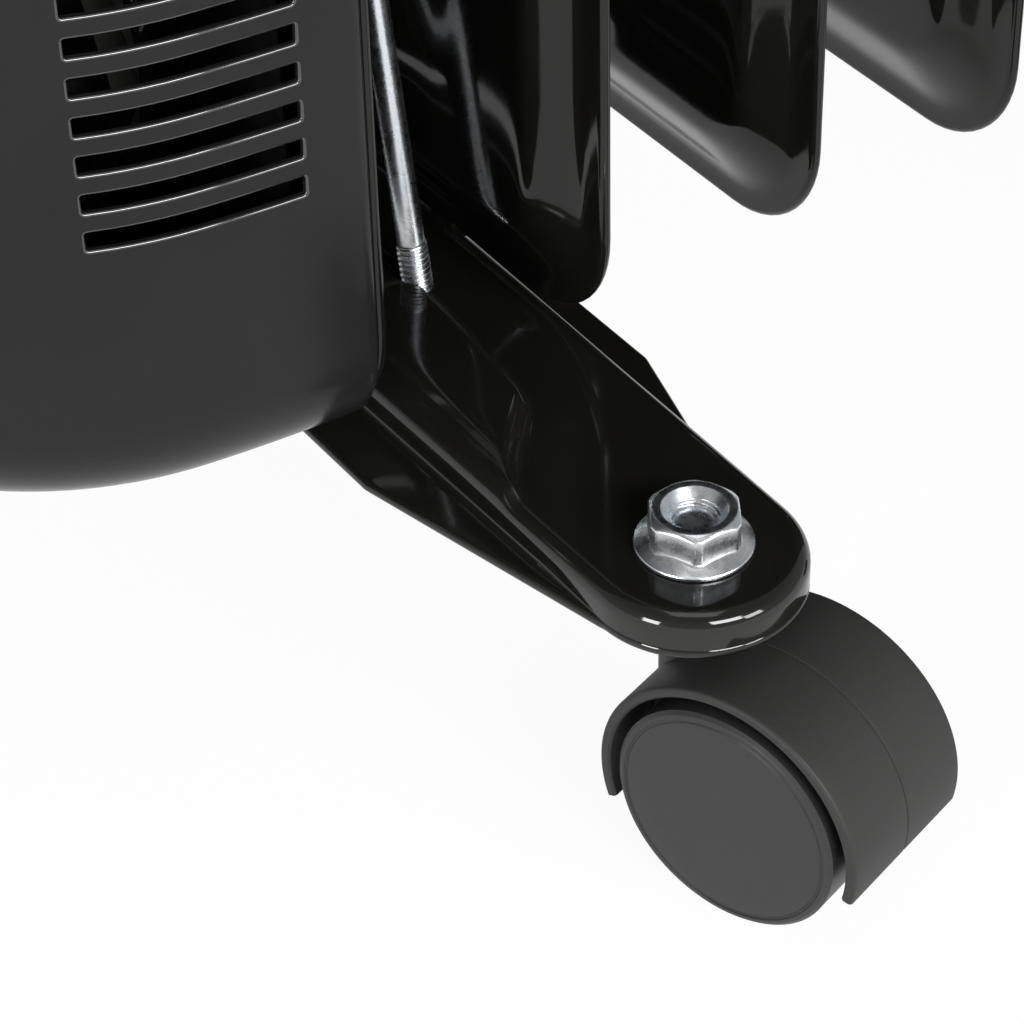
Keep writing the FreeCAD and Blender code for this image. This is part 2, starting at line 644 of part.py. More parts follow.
def hood():
    """Hood over both wheels, with the web, the stem socket and the axle boss."""
    cover = hood_sector(HOOD_R, HOOD_HALF_WIDTH)
    rims = [e for e in cover.Edges if isinstance(e.Curve, Part.Circle) and abs(e.Curve.Radius - HOOD_R) < 1e-6]
    cover = cover.makeFillet(HOOD_EDGE_R, rims).cut(hood_sector(HOOD_R - HOOD_WALL, HOOD_HALF_WIDTH + OVERCUT))
    web = hood_sector(HOOD_R - HOOD_WALL / 2, HOOD_WEB)
    socket_top = FOOT_CEILING - STEM_COLLAR - SEAT
    socket_low = socket_top - SOCKET_DEPTH
    column = cylinder(HOOD_BOSS_R, Vector(0, 0, socket_low - SOCKET_FLOOR), Vector(0, 0, socket_top))
    boss = cylinder(WHEEL_HUB_R, axle_point(-HOOD_BOSS_R), axle_point(HOOD_BOSS_R))
    body = cover.fuse([web, column, boss])
    socket = cylinder(STEM_JOURNAL_R + RUNNING, Vector(0, 0, socket_low), Vector(0, 0, socket_top + OVERCUT))
    bore = cylinder(AXLE_R, axle_point(-HOOD_BOSS_R - OVERCUT), axle_point(HOOD_BOSS_R + OVERCUT))
    return body.cut([socket, bore])


def axle():
    """Axle pressed into the hood's boss."""
    return cylinder(AXLE_R, axle_point(-AXLE_HALF), axle_point(AXLE_HALF))


def wheel():
    """Cup-shaped wheel on the -Y side, closed towards the outside."""
    inner = HOOD_BOSS_R + SEAT
    bore = AXLE_R + RUNNING
    rim_in = WHEEL_R - WHEEL_RIM
    web_in = WHEEL_FACE - WHEEL_WEB
    bore_end = AXLE_HALF + SEAT
    profile = [(bore, inner), (WHEEL_HUB_R, inner), (WHEEL_HUB_R, web_in), (rim_in, web_in), (rim_in, inner),
               (WHEEL_R, inner), (WHEEL_R, WHEEL_FACE - WHEEL_BEVEL), (WHEEL_R - WHEEL_BEVEL, WHEEL_FACE),
               (GROOVE_R + GROOVE_WIDTH, WHEEL_FACE), (GROOVE_R + GROOVE_WIDTH, WHEEL_FACE - GROOVE_DEPTH),
               (GROOVE_R, WHEEL_FACE - GROOVE_DEPTH), (GROOVE_R, WHEEL_FACE), (0, WHEEL_FACE), (0, bore_end),
               (bore, bore_end)]
    points = [axle_point(-out) + Z * radius for radius, out in profile]
    face = Part.Face(Part.makePolygon(points + points[:1]))
    return face.revolve(axle_point(0), Y, 360)


def casters():
    """Hoods, axles and wheels of all four casters, each turned to its resting direction."""
    opposite = wheel().mirror(O, Y)
    pieces = {"hood": hood(), "axle": axle(), "fore_wheel": wheel(), "aft_wheel": opposite}
    nodes = {}
    for end, y in (("front", 0), ("rear", REAR_FOOT_Y)):
        for kind, shape in pieces.items():
            turned = shape.rotated(O, Z, SWIVEL).translated(Vector(STEM_X, y, 0))
            nodes["%s_right_%s" % (end, kind)] = turned
            nodes["%s_left_%s" % (end, kind)] = mirrored(turned)
    return nodes


# ---- control housing --------------------------------------------------------
def side_arcs(inset):
    """Centre, radius and end directions of the right side's arcs in plan, crown last."""
    x = SHELL_HALF
    y = SHELL_REAR
    start = radians(SIDE_START)
    arcs = []
    for radius, stop in SIDE_ARCS:
        stop = radians(stop)
        cx = x - radius * cos(start)
        cy = y + radius * sin(start)
        arcs.append((cx, cy, radius - inset, start, stop))
        x = cx + radius * cos(stop)
        y = cy - radius * sin(stop)
        start = stop
    crown = x / cos(start)
    arcs.append((0, y + crown * sin(start), crown - inset, start, pi - start))
    return arcs


def shell_front():
    """Front-most y of the housing."""
    cx, cy, radius, start, stop = side_arcs(0)[-1]
    return cy - radius


def shell_body(inset, z0, z1, behind):
    """Housing form moved in by inset, drawn out behind its rear edge."""
    points = []
    for cx, cy, radius, start, stop in side_arcs(inset):
        points.append([Vector(cx + radius * cos(a), cy - radius * sin(a), z0)
                       for a in (start, (start + stop) / 2, stop)])
    right = points[:-1]
    left = [[Vector(-p.x, p.y, p.z) for p in reversed(arc)] for arc in reversed(right)]
    arcs = right + points[-1:] + left
    edges = [Part.Arc(*arc).toShape() for arc in arcs]
    first = arcs[0][0]
    last = arcs[-1][2]
    rear = [last, last + Y * behind, first + Y * behind, first]
    for a, b in zip(rear, rear[1:]):
        if (b - a).Length > 1e-6:
            edges.append(Part.LineSegment(a, b).toShape())
    body = Part.Face(Part.Wire(edges)).extrude(Z * (z1 - z0))
    back = first.y + behind
    rim = [e for e in body.Edges if e.BoundBox.ZLength < 1e-6 and e.BoundBox.YMin < back - 1e-3]
    return body.makeFillet(SHELL_EDGE_R - inset, rim)


def louvre_tools():
    """Slots through both side walls."""
    rear = SHELL_REAR - LOUVRE_REAR
    front = rear - LOUVRE_LENGTH
    end = LOUVRE_SLOT / 2
    tools = []
    for k in range(LOUVRE_COUNT):
        z = SHELL_BOTTOM + LOUVRE_FIRST + k * LOUVRE_PITCH + end
        start = -SHELL_HALF - OVERCUT
        length = 2 * (SHELL_HALF + OVERCUT)
        tools.append(block(start, start + length, front + end, rear - end, z - end, z + end))
        tools.append(Part.makeCylinder(end, length, Vector(start, front + end, z), X))
        tools.append(Part.makeCylinder(end, length, Vector(start, rear - end, z), X))
    return tools


def panel_face_y():
    """Front face of the control panel."""
    return shell_front() - PANEL_PROUD


def tab_screw_points():
    """Screw positions in the shield's lower and upper tabs: seat on the housing and direction inwards."""
    y = SHIELD_FRONT - TAB_SCREW_INSET
    low = [(Vector(x, y, SHELL_BOTTOM), Z) for x in (-TAB_SCREW_X, TAB_SCREW_X)]
    high = [(Vector(x, y, SHELL_TOP), -Z) for x in (-TAB_SCREW_X, TAB_SCREW_X)]
    return low + high


def handle_screw_points():
    """Handle screw positions on the housing's top, at the middle of each post."""
    x = HANDLE_HALF - HANDLE_POST / 2
    return [Vector(-x, HANDLE_Y, SHELL_CEILING), Vector(x, HANDLE_Y, SHELL_CEILING)]


def shell():
    """Control housing, open at the back, with louvres and openings."""
    body = shell_body(0, SHELL_BOTTOM, SHELL_TOP, 0)
    body = body.cut(shell_body(SHELL_WALL, SHELL_FLOOR, SHELL_CEILING, OVERCUT))
    window = rounded_plate(PANEL_HALF + SLIP, PANEL_Z - PANEL_HALF_HEIGHT - SLIP,
                           PANEL_Z + PANEL_HALF_HEIGHT + SLIP, PANEL_CORNER_R + SLIP,
                           panel_face_y() - OVERCUT, panel_face_y() + PANEL_DEPTH + OVERCUT)
    tools = louvre_tools() + [window]
    for seat, inward in tab_screw_points():
        tools.append(cylinder(SCREW_R + SLIP, seat - inward * OVERCUT, seat + inward * (SHELL_WALL + OVERCUT)))
    for seat in handle_screw_points():
        tools.append(cylinder(SCREW_R + SLIP, seat - Z * OVERCUT, seat + Z * (SHELL_WALL + OVERCUT)))
    gland = Vector(GLAND_X, GLAND_Y, SHELL_BOTTOM)
    tools.append(cylinder(GLAND_NECK_R + SLIP, gland - Z * OVERCUT, gland + Z * (SHELL_WALL + OVERCUT)))
    return body.cut(tools)


def shell_screws():
    """Screws that hold the housing to the shield's tabs."""
    screws = []
    for seat, inward in tab_screw_points():
        shank = cylinder(SCREW_R, seat, seat + inward * SCREW_LENGTH)
        screws.append(cylinder(SCREW_HEAD_R, seat - inward * SCREW_HEAD, seat).fuse(shank))
    return Part.makeCompound(screws)


def stud_points():
    """Stud positions on the first section's panel."""
    y = SECTION_YS[0] - SECTION_FACE
    levels = (HEADER_LOW + STUD_HEADER_GAP, HEADER_HIGH - STUD_HEADER_GAP)
    return [Vector(x, y, z) for x in (-STUD_X, STUD_X) for z in levels]


def shield():
    """Heat shield between the sections and the controls, with its two tabs."""
    corner = SHELL_EDGE_R - SHELL_WALL
    plate = rounded_plate(SHIELD_HALF, SHELL_FLOOR, SHELL_CEILING, corner, SHIELD_FRONT, SHIELD_BACK)
    tab_front = SHIELD_FRONT - TAB_LENGTH
    low = block(-TAB_HALF, TAB_HALF, tab_front, SHIELD_BACK, SHELL_FLOOR, SHELL_FLOOR + SHIELD_SHEET)
    high = block(-TAB_HALF, TAB_HALF, tab_front, SHIELD_BACK, SHELL_CEILING - SHIELD_SHEET, SHELL_CEILING)
    tools = []
    for z in (HEADER_LOW, HEADER_HIGH):
        tools.append(cylinder(BOSS_R + SHIELD_HOLE_GAP, Vector(0, SHIELD_FRONT - OVERCUT, z),
                              Vector(0, SHIELD_BACK + OVERCUT, z)))
    for point in stud_points():
        tools.append(cylinder(STUD_THREAD_R + SLIP, Vector(point.x, SHIELD_FRONT - OVERCUT, point.z),
                              Vector(point.x, SHIELD_BACK + OVERCUT, point.z)))
    for seat, inward in tab_screw_points():
        tools.append(cylinder(SCREW_R, seat, seat + inward * SCREW_LENGTH))
    return plate.fuse([low, high]).cut(tools)


def shield_studs():
    """Studs welded to the first section, each with its nut."""
    studs = []
    for point in stud_points():
        shoulder = Vector(point.x, SHIELD_BACK, point.z)
        face = Vector(point.x, SHIELD_FRONT, point.z)
        post = cylinder(STUD_R, point, shoulder)
        thread = cylinder(STUD_THREAD_R, shoulder, face - Y * (STUD_NUT_HEIGHT + STUD_END))
        studs.append(post.fuse([thread, hexagon(STUD_NUT_FLATS, face, Y * -STUD_NUT_HEIGHT)]))
    return Part.makeCompound(studs)


# ---- controls ---------------------------------------------------------------
def panel():
    """Control panel with its lugs and the holes for shafts and lens."""
    front = panel_face_y()
    low = PANEL_Z - PANEL_HALF_HEIGHT
    high = PANEL_Z + PANEL_HALF_HEIGHT
    body = rounded_plate(PANEL_HALF, low, high, PANEL_CORNER_R, front, front + PANEL_DEPTH)
    hollow = rounded_plate(PANEL_HALF - PANEL_WALL, low + PANEL_WALL, high - PANEL_WALL,
                           PANEL_CORNER_R - PANEL_WALL, front + PANEL_WALL, front + PANEL_DEPTH + OVERCUT)
    lug_front = shell_front() + SHELL_WALL + SEAT
    lugs = [block(-LUG_HALF, LUG_HALF, lug_front, lug_front + LUG_THICKNESS, low - LUG_REACH, low + PANEL_WALL),
            block(-LUG_HALF, LUG_HALF, lug_front, lug_front + LUG_THICKNESS, high - PANEL_WALL, high + LUG_REACH)]
    tools = []
    for dz, radius in ((THERMOSTAT_Z, SHAFT_R + RUNNING), (SELECTOR_Z, SHAFT_R + RUNNING), (LENS_Z, LENS_R)):
        z = PANEL_Z + dz
        tools.append(cylinder(radius, Vector(0, front - OVERCUT, z), Vector(0, front + PANEL_WALL + OVERCUT, z)))
    return body.cut(hollow).fuse(lugs).cut(tools)


def knob(z, skirt_r, grip_r):
    """Round knob with a smaller grip and a pointer ridge, bored for its shaft."""
    back = panel_face_y() - SEAT
    face = back - KNOB_HEIGHT
    skirt = cylinder(skirt_r, Vector(0, back, z), Vector(0, back - KNOB_SKIRT, z))
    grip = cylinder(grip_r, Vector(0, back - KNOB_SKIRT, z), Vector(0, face, z))
    pointer = block(-POINTER_WIDTH / 2, POINTER_WIDTH / 2, face, back - KNOB_SKIRT, z, z + grip_r + POINTER_RISE)
    bore = cylinder(SHAFT_R, Vector(0, back + 1, z), Vector(0, back - SHAFT_IN_KNOB, z))
    return skirt.fuse([grip, pointer]).cut(bore)


def shaft(z):
    """Control shaft from its knob into its switch."""
    back = panel_face_y()
    return cylinder(SHAFT_R, Vector(0, back - SEAT - SHAFT_IN_KNOB, z),
                    Vector(0, back + PANEL_WALL + SHAFT_IN_BODY, z))


def switch_body(z, half, depth):
    """Switch or thermostat body behind the panel, bored for its shaft."""
    front = panel_face_y() + PANEL_WALL
    bore = cylinder(SHAFT_R + RUNNING, Vector(0, front - 1, z), Vector(0, front + SHAFT_IN_BODY + SEAT, z))
    return block(-half, half, front, front + depth, z - half, z + half).cut(bore)


def lens():
    """Pilot lens pressed through the panel from behind."""
    z = PANEL_Z + LENS_Z
    front = panel_face_y()
    stem_part = cylinder(LENS_R, Vector(0, front + PANEL_WALL, z), Vector(0, front - LENS_PROUD, z))
    flange = cylinder(LENS_FLANGE_R, Vector(0, front + PANEL_WALL, z), Vector(0, front + PANEL_WALL + LENS_FLANGE, z))
    return stem_part.fuse(flange)


def lamp():
    """Pilot lamp behind its lens."""
    z = PANEL_Z + LENS_Z
    start = panel_face_y() + PANEL_WALL + LENS_FLANGE
    return cylinder(LAMP_R, Vector(0, start, z), Vector(0, start + LAMP_LENGTH, z))


# ---- parts on the heat shield -----------------------------------------------
def thermal_cutout():
    """Thermal cut-out with its two ears, flat on the shield."""
    can = cylinder(CUTOUT_R, Vector(CUTOUT_X, SHIELD_FRONT, CUTOUT_Z),
                   Vector(CUTOUT_X, SHIELD_FRONT - CUTOUT_DEPTH, CUTOUT_Z))
    ears = block(CUTOUT_X - CUTOUT_EAR, CUTOUT_X + CUTOUT_EAR, SHIELD_FRONT - CUTOUT_EAR_SHEET, SHIELD_FRONT,
                 CUTOUT_Z - CUTOUT_EAR_HALF, CUTOUT_Z + CUTOUT_EAR_HALF)
    return can.fuse(ears)


def terminal_block():
    """Terminal block on the shield, with one wire entry for each way."""
    front = SHIELD_FRONT - TERMINAL_DEPTH
    body = block(-TERMINAL_HALF, TERMINAL_HALF, front, SHIELD_FRONT, TERMINAL_Z, TERMINAL_Z + TERMINAL_HEIGHT)
    pitch = 2 * TERMINAL_HALF / TERMINAL_WAYS
    y = (front + SHIELD_FRONT) / 2
    ways = [Vector(-TERMINAL_HALF + pitch * (k + 0.5), y, TERMINAL_Z) for k in range(TERMINAL_WAYS)]
    return body.cut([cylinder(TERMINAL_HOLE_R, p - Z, p + Z * (TERMINAL_HEIGHT + 1)) for p in ways])


def tip_pivot(y):
    """Point on the pendulum's pivot."""
    return Vector(TIP_X, y, TIP_Z + TIP_HEIGHT - TIP_PIVOT_DROP)


def tip_housing():
    """Tip-over switch housing, hollow round its pendulum and bored for the pin."""
    front = SHIELD_FRONT - TIP_DEPTH
    body = block(TIP_X - TIP_HALF, TIP_X + TIP_HALF, front, SHIELD_FRONT, TIP_Z, TIP_Z + TIP_HEIGHT)
    hollow = block(TIP_X - TIP_HALF + TIP_WALL, TIP_X + TIP_HALF - TIP_WALL, front + TIP_WALL,
                   SHIELD_FRONT - TIP_WALL, TIP_Z + TIP_WALL, TIP_Z + TIP_HEIGHT - TIP_WALL)
    return body.cut([hollow, cylinder(TIP_PIN_R, tip_pivot(front - 1), tip_pivot(SHIELD_FRONT + 1))])


def tip_pin():
    """Pivot pin across the tip-over switch housing."""
    return cylinder(TIP_PIN_R, tip_pivot(SHIELD_FRONT - TIP_DEPTH), tip_pivot(SHIELD_FRONT))


def tip_pendulum():
    """Pendulum that hangs on the pin."""
    middle = SHIELD_FRONT - TIP_DEPTH / 2
    half = TIP_BOB_THICKNESS / 2
    pivot = tip_pivot(middle)
    bob_axis = Vector(pivot.x, pivot.y, pivot.z - TIP_ARM)
    hub = cylinder(TIP_HUB_R, pivot - Y * half, pivot + Y * half)
    arm = block(pivot.x - TIP_ARM_HALF, pivot.x + TIP_ARM_HALF, middle - TIP_ARM_HALF / 2, middle + TIP_ARM_HALF / 2,
                bob_axis.z, pivot.z)
    bob = cylinder(TIP_BOB_R, bob_axis - Y * half, bob_axis + Y * half)
    bore = cylinder(TIP_PIN_R + RUNNING, pivot - Y * TIP_BOB_THICKNESS, pivot + Y * TIP_BOB_THICKNESS)
    return hub.fuse([arm, bob]).cut(bore)


# ---- carry handle and cord gland --------------------------------------------
def handle():
    """Carry handle standing on the housing's top."""
    top = SHELL_TOP + HANDLE_HEIGHT
    y0 = HANDLE_Y - HANDLE_WIDTH / 2
    y1 = HANDLE_Y + HANDLE_WIDTH / 2
    outer = rounded_plate(HANDLE_HALF, SHELL_TOP - HANDLE_HEIGHT, top, HANDLE_CORNER_R, y0, y1)
    edges = [e for e in outer.Edges if e.BoundBox.YLength < 1e-6]
    outer = outer.makeFillet(HANDLE_EDGE_R, edges)
    gap = rounded_plate(HANDLE_HALF - HANDLE_POST, SHELL_TOP - HANDLE_HEIGHT, top - HANDLE_BAR, HANDLE_GAP_R,
                        y0 - OVERCUT, y1 + OVERCUT)
    rim = [e for e in gap.Edges if e.BoundBox.YLength < 1e-6]
    below = block(-2 * HANDLE_HALF, 2 * HANDLE_HALF, y0 - OVERCUT, y1 + OVERCUT,
                  SHELL_TOP - 2 * HANDLE_HEIGHT, SHELL_TOP)
    tools = [gap, below]
    for seat in handle_screw_points():
        tools.append(cylinder(SCREW_R, seat, seat + Z * (SHELL_WALL + HANDLE_SCREW_DEPTH)))
    return outer.cut(tools)


def handle_screws():
    """Screws from inside the housing into the handle's posts."""
    screws = []
    for seat in handle_screw_points():
        shank = cylinder(SCREW_R, seat, seat + Z * (SHELL_WALL + HANDLE_SCREW_DEPTH))
        screws.append(cylinder(SCREW_HEAD_R, seat - Z * SCREW_HEAD, seat).fuse(shank))
    return Part.makeCompound(screws)


def gland():
    """Cord gland through the housing's floor."""
    seat = Vector(GLAND_X, GLAND_Y, SHELL_BOTTOM)
    flange = cylinder(GLAND_FLANGE_R, seat - Z * GLAND_FLANGE, seat)
    neck = cylinder(GLAND_NECK_R, seat, seat + Z * GLAND_NECK)
    bore = cylinder(GLAND_BORE_R, seat - Z * (GLAND_FLANGE + OVERCUT), seat + Z * (GLAND_NECK + OVERCUT))
    return flange.fuse(neck).cut(bore)


def gland_nut():
    """Nut that holds the gland from inside the housing."""
    seat = Vector(GLAND_X, GLAND_Y, SHELL_FLOOR)
    nut = hexagon(GLAND_NUT_FLATS, seat, Z * GLAND_NUT)
    return nut.cut(cylinder(GLAND_NECK_R, seat - Z, seat + Z * (GLAND_NUT + 1)))


# ---- assembly ---------------------------------------------------------------
def build():
    """Every node of the radiator, by name."""
    tubes = element_tubes()
    foot_shape = foot()
    bolt = u_bolt()
    back = Vector(0, REAR_FOOT_Y, 0)
    nodes = sections()
    nodes["header_closing_discs"] = closing_discs()
    nodes["oil_filler_plug"] = filler_plug()
    nodes["heating_element"] = Part.makeCompound(tubes)
    nodes["element_flange"] = element_plug(tubes)
    nodes["element_gasket"] = element_gasket()
    nodes["element_terminals"] = element_pins()
    nodes["control_box_shell"] = shell()
    nodes["shell_screws"] = shell_screws()
    nodes["heat_shield"] = shield()
    nodes["shield_studs"] = shield_studs()
    nodes["control_panel"] = panel()
    nodes["thermostat_knob"] = knob(PANEL_Z + THERMOSTAT_Z, THERMOSTAT_KNOB_R, THERMOSTAT_GRIP_R)
    nodes["thermostat_shaft"] = shaft(PANEL_Z + THERMOSTAT_Z)
    nodes["thermostat_body"] = switch_body(PANEL_Z + THERMOSTAT_Z, THERMOSTAT_HALF, THERMOSTAT_DEPTH)
    nodes["selector_knob"] = knob(PANEL_Z + SELECTOR_Z, SELECTOR_KNOB_R, SELECTOR_GRIP_R)
    nodes["selector_shaft"] = shaft(PANEL_Z + SELECTOR_Z)
    nodes["selector_switch"] = switch_body(PANEL_Z + SELECTOR_Z, SELECTOR_HALF, SELECTOR_DEPTH)
    nodes["pilot_lens"] = lens()
    nodes["pilot_lamp"] = lamp()
    nodes["thermal_cutout"] = thermal_cutout()
    nodes["terminal_block"] = terminal_block()
    nodes["tip_switch_housing"] = tip_housing()
    nodes["tip_switch_pin"] = tip_pin()
    nodes["tip_switch_pendulum"] = tip_pendulum()
    nodes["carry_handle"] = handle()
    nodes["handle_screws"] = handle_screws()
    nodes["cord_gland"] = gland()
    nodes["cord_gland_nut"] = gland_nut()
    nodes["front_foot"] = foot_shape
    nodes["rear_foot"] = foot_shape.translated(back)
    nodes["front_u_bolt"] = bolt
    nodes["rear_u_bolt"] = bolt.translated(back)
    nodes["u_bolt_wing_nuts"] = Part.makeCompound(at_both_feet(both_sides(wing_nut())))
    nodes["u_bolt_washers"] = Part.makeCompound(at_both_feet(both_sides(washer())))
    nodes["caster_stems"] = Part.makeCompound(at_both_feet(both_sides(stem())))
    nodes["caster_nuts"] = Part.makeCompound(at_both_feet(both_sides(caster_nut())))
    nodes.update(casters())
    return nodes


def middle_y():
    """Middle of the bounding box along Y: knob faces in front, filler plug behind."""
    front = panel_face_y() - SEAT - KNOB_HEIGHT
    rear = HEADER_REAR + END_DISC + FILLER_HEAD
    return (front + rear) / 2


def main():
    """Writes each node with the origin under the middle of the bounding box."""
    os.makedirs("parts", exist_ok=True)
    shift = Vector(0, -middle_y(), 0)
    for name, shape in build().items():
        shape.translated(shift).exportStep("parts/%s.step" % name)


if __name__ == "__main__":
    main()
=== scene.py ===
import json
from math import acos, asin, atan2, cos, hypot, pi, radians, sin, tan

import bmesh
import bpy
import numpy as np
from mathutils import Matrix, Vector

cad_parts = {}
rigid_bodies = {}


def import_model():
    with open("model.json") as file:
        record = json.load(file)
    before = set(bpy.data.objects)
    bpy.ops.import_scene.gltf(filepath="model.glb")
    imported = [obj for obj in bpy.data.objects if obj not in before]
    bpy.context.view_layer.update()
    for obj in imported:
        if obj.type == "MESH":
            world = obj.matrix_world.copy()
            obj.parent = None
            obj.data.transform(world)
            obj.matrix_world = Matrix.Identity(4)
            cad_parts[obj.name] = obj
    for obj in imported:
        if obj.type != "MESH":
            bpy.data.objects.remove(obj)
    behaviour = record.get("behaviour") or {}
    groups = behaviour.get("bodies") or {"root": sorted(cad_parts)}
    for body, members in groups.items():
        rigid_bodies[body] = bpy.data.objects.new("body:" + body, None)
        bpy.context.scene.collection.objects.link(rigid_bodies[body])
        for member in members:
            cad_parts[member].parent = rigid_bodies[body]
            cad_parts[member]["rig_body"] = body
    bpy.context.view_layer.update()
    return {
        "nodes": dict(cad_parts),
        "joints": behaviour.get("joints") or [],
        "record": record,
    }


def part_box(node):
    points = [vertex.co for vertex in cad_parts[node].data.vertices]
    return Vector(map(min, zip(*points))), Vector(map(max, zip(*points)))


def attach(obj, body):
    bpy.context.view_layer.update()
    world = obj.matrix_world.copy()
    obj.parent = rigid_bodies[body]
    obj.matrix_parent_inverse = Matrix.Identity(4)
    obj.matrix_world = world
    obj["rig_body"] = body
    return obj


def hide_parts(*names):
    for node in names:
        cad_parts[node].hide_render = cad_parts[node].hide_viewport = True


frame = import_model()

bl_info = {
    "name": "Oil-Filled Radiator",
    "version": (1, 0, 0),
    "blender": (4, 5, 0),
    "location": "3D View > Sidebar > Radiator",
    "description": "Builds an oil-filled column radiator with its housing, feet, casters and studio",
    "category": "Add Mesh",
}

MM = 0.001
JOINTS = {joint["name"]: joint for joint in frame["joints"]}
SLOTS = {part["node"]: part["material_slot"] for part in frame["record"]["subparts"]}

STEM_X, FRONT_Y, CEILING_JOINT_Z = JOINTS["front_right_caster_swivel"]["pos_m"]
REAR_Y = JOINTS["rear_right_caster_swivel"]["pos_m"][1]
FOOT_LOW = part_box("front_foot")[0]
SECTION_LOW, SECTION_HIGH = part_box("section_2")
HOUSING_LOW, HOUSING_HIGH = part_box("control_box_shell")
NUT_LOW, NUT_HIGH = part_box("caster_nuts")
FOOT_TOP = NUT_LOW.z
PANEL_LOW, PANEL_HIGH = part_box("control_panel")
STEM_LOW, STEM_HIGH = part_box("caster_stems")
SECTIONS = sorted(name for name in frame["nodes"] if name.startswith("section_"))
SECTION_HALF_WIDTH = SECTION_HIGH.x
SECTION_BOTTOM = SECTION_LOW.z
SECTION_TOP = SECTION_HIGH.z
SECTION_PITCH = SECTION_HIGH.y - SECTION_LOW.y
SADDLE_Y = (SECTION_LOW.y + SECTION_HIGH.y) / 2 - FRONT_Y

JOIN = 2e-6  # points nearer than this, in metres, become one
ROUNDED_ABOVE = 32.0  # degrees; sharper edges of the small fittings are rounded
WINDOW_HALF_HEIGHT = 85.0 * MM  # of the control panel, without the gap round it
SCREW_HEAD = 2.0 * MM  # height of a screw's head
SCREW_SHANK = 1.85 * MM  # radius
RECESS_ARM = 0.62 * MM  # half width of an arm of the cross
RECESS_REACH = 2.1 * MM  # length of an arm
RECESS_DEPTH = 0.55  # in heights of the head
MARK_GAP = 3.2 * MM  # from a knob's skirt to its dial marks
THREAD_COLUMNS = 49  # points round a thread
THREAD_ROWS = 14.0  # for each pitch
ROUNDINGS = {  # edges of the small fittings, in millimetres
    "carry_handle": 1.2, "cord_gland": 0.5, "cord_gland_nut": 0.4, "u_bolt_wing_nuts": 0.6, "u_bolt_washers": 0.25,
    "header_closing_discs": 0.6, "oil_filler_plug": 0.5, "element_flange": 0.6, "pilot_lens": 0.9,
    "thermostat_body": 0.8, "selector_switch": 0.8, "thermal_cutout": 0.4, "terminal_block": 0.6,
    "tip_switch_housing": 0.8, "shield_studs": 0.25,
}
PLASTIC_IOR = 1.45
NUT_TURNS = {(-1, FRONT_Y): 0.4, (1, REAR_Y): 0.15, (-1, REAR_Y): 0.75}  # by side and foot, in radians

# a caster's web and boss
WEB_HALF_FOOT = 4 * MM  # half width of the web's lower end
WEB_DROP = 7 * MM  # from the axle down to it
BOSS_FLOOR = 24.3 * MM  # height of the boss's underside above the floor

SECTION_CORNER_STEPS = 12

# weld grooves of a section
GROOVE_HALF_WIDTH = 2.4 * MM
GROOVE_START = 1.45  # from the header's axis, in boss radii
GROOVE_FADE = 10 * MM

# pads of a foot
PAD_BACK = 1.4 * MM  # run of the rear slope
PAD_FRONT = 5.0 * MM  # run of the front slope
PAD_MARGIN = 1.2 * MM  # bare plate in front of it
PAD_LEAD = 9 * MM  # run of the inner end
PAD_SWEEP = 1.09  # how far the outer end moves out for each step forward
PAD_CURL = 0.18  # extra sweep in front of its start, by the square of the millimetres
PAD_CURL_START = 11

# saddle of a foot: places across its middle, and the share of its rise at each
SADDLE_ACROSS = np.array([-3.2, -2.4, -1.6, -0.8, 0.0, 0.8, 1.6]) * MM
SADDLE_LIFT = np.array([-1.2, 0.6, 1.5, 1.95, 2.1, 1.95, 1.5]) / 2.1
SADDLE_SKIRT = 0.6 * MM  # how far its edge sinks into the plate

# stage: the sky's stops as height (0 level, 1 overhead), red and green, and blue; the lamps as name, azimuth,
# elevation, width and height in degrees, and radiance
SKY = ((0.0, 1, 1), (0.10, 0.42, 0.42), (0.45, 0.37, 0.375), (0.70, 0.25, 0.255), (1.0, 0.21, 0.215))
LAMPS = (("key", 85.0, 33.0, 26.0, 16.0, 17.0), ("side", 110.0, 23.0, 16.0, 16.0, 12.0),
         ("front", 15.0, 12.0, 15.0, 18.0, 18.0), ("overhead", 56.0, 84.0, 26.0, 26.0, 1.35))
LAMP_DISTANCE = 1.6
FLOOR_SEEN = 0.955  # share of plain white that the camera sees
FLOOR_REFLECTED = 0.55  # share of plain white in reflections


# ---- sizes and colours ------------------------------------------------------
def length(label, about, size):
    """A length property, in metres."""
    return bpy.props.FloatProperty(name=label, description=about, default=size, min=0.0, precision=5,
                                   subtype="DISTANCE", unit="LENGTH")


def angle(label, about, degrees):
    """An angle property, written here in degrees."""
    return bpy.props.FloatProperty(name=label, description=about, default=radians(degrees), subtype="ANGLE",
                                   unit="ROTATION")


def count(label, about, number):
    """A whole number property."""
    return bpy.props.IntProperty(name=label, description=about, default=number, min=1)


def share(label, about, value):
    """A property between nothing and all."""
    return bpy.props.FloatProperty(name=label, description=about, default=value, min=0.0, max=1.0,
                                   subtype="FACTOR")


def colour(label, about, red, green, blue):
    """A colour property, in linear light."""
    return bpy.props.FloatVectorProperty(name=label, description=about, default=(red, green, blue), size=3,
                                         min=0.0, max=1.0, subtype="COLOR")


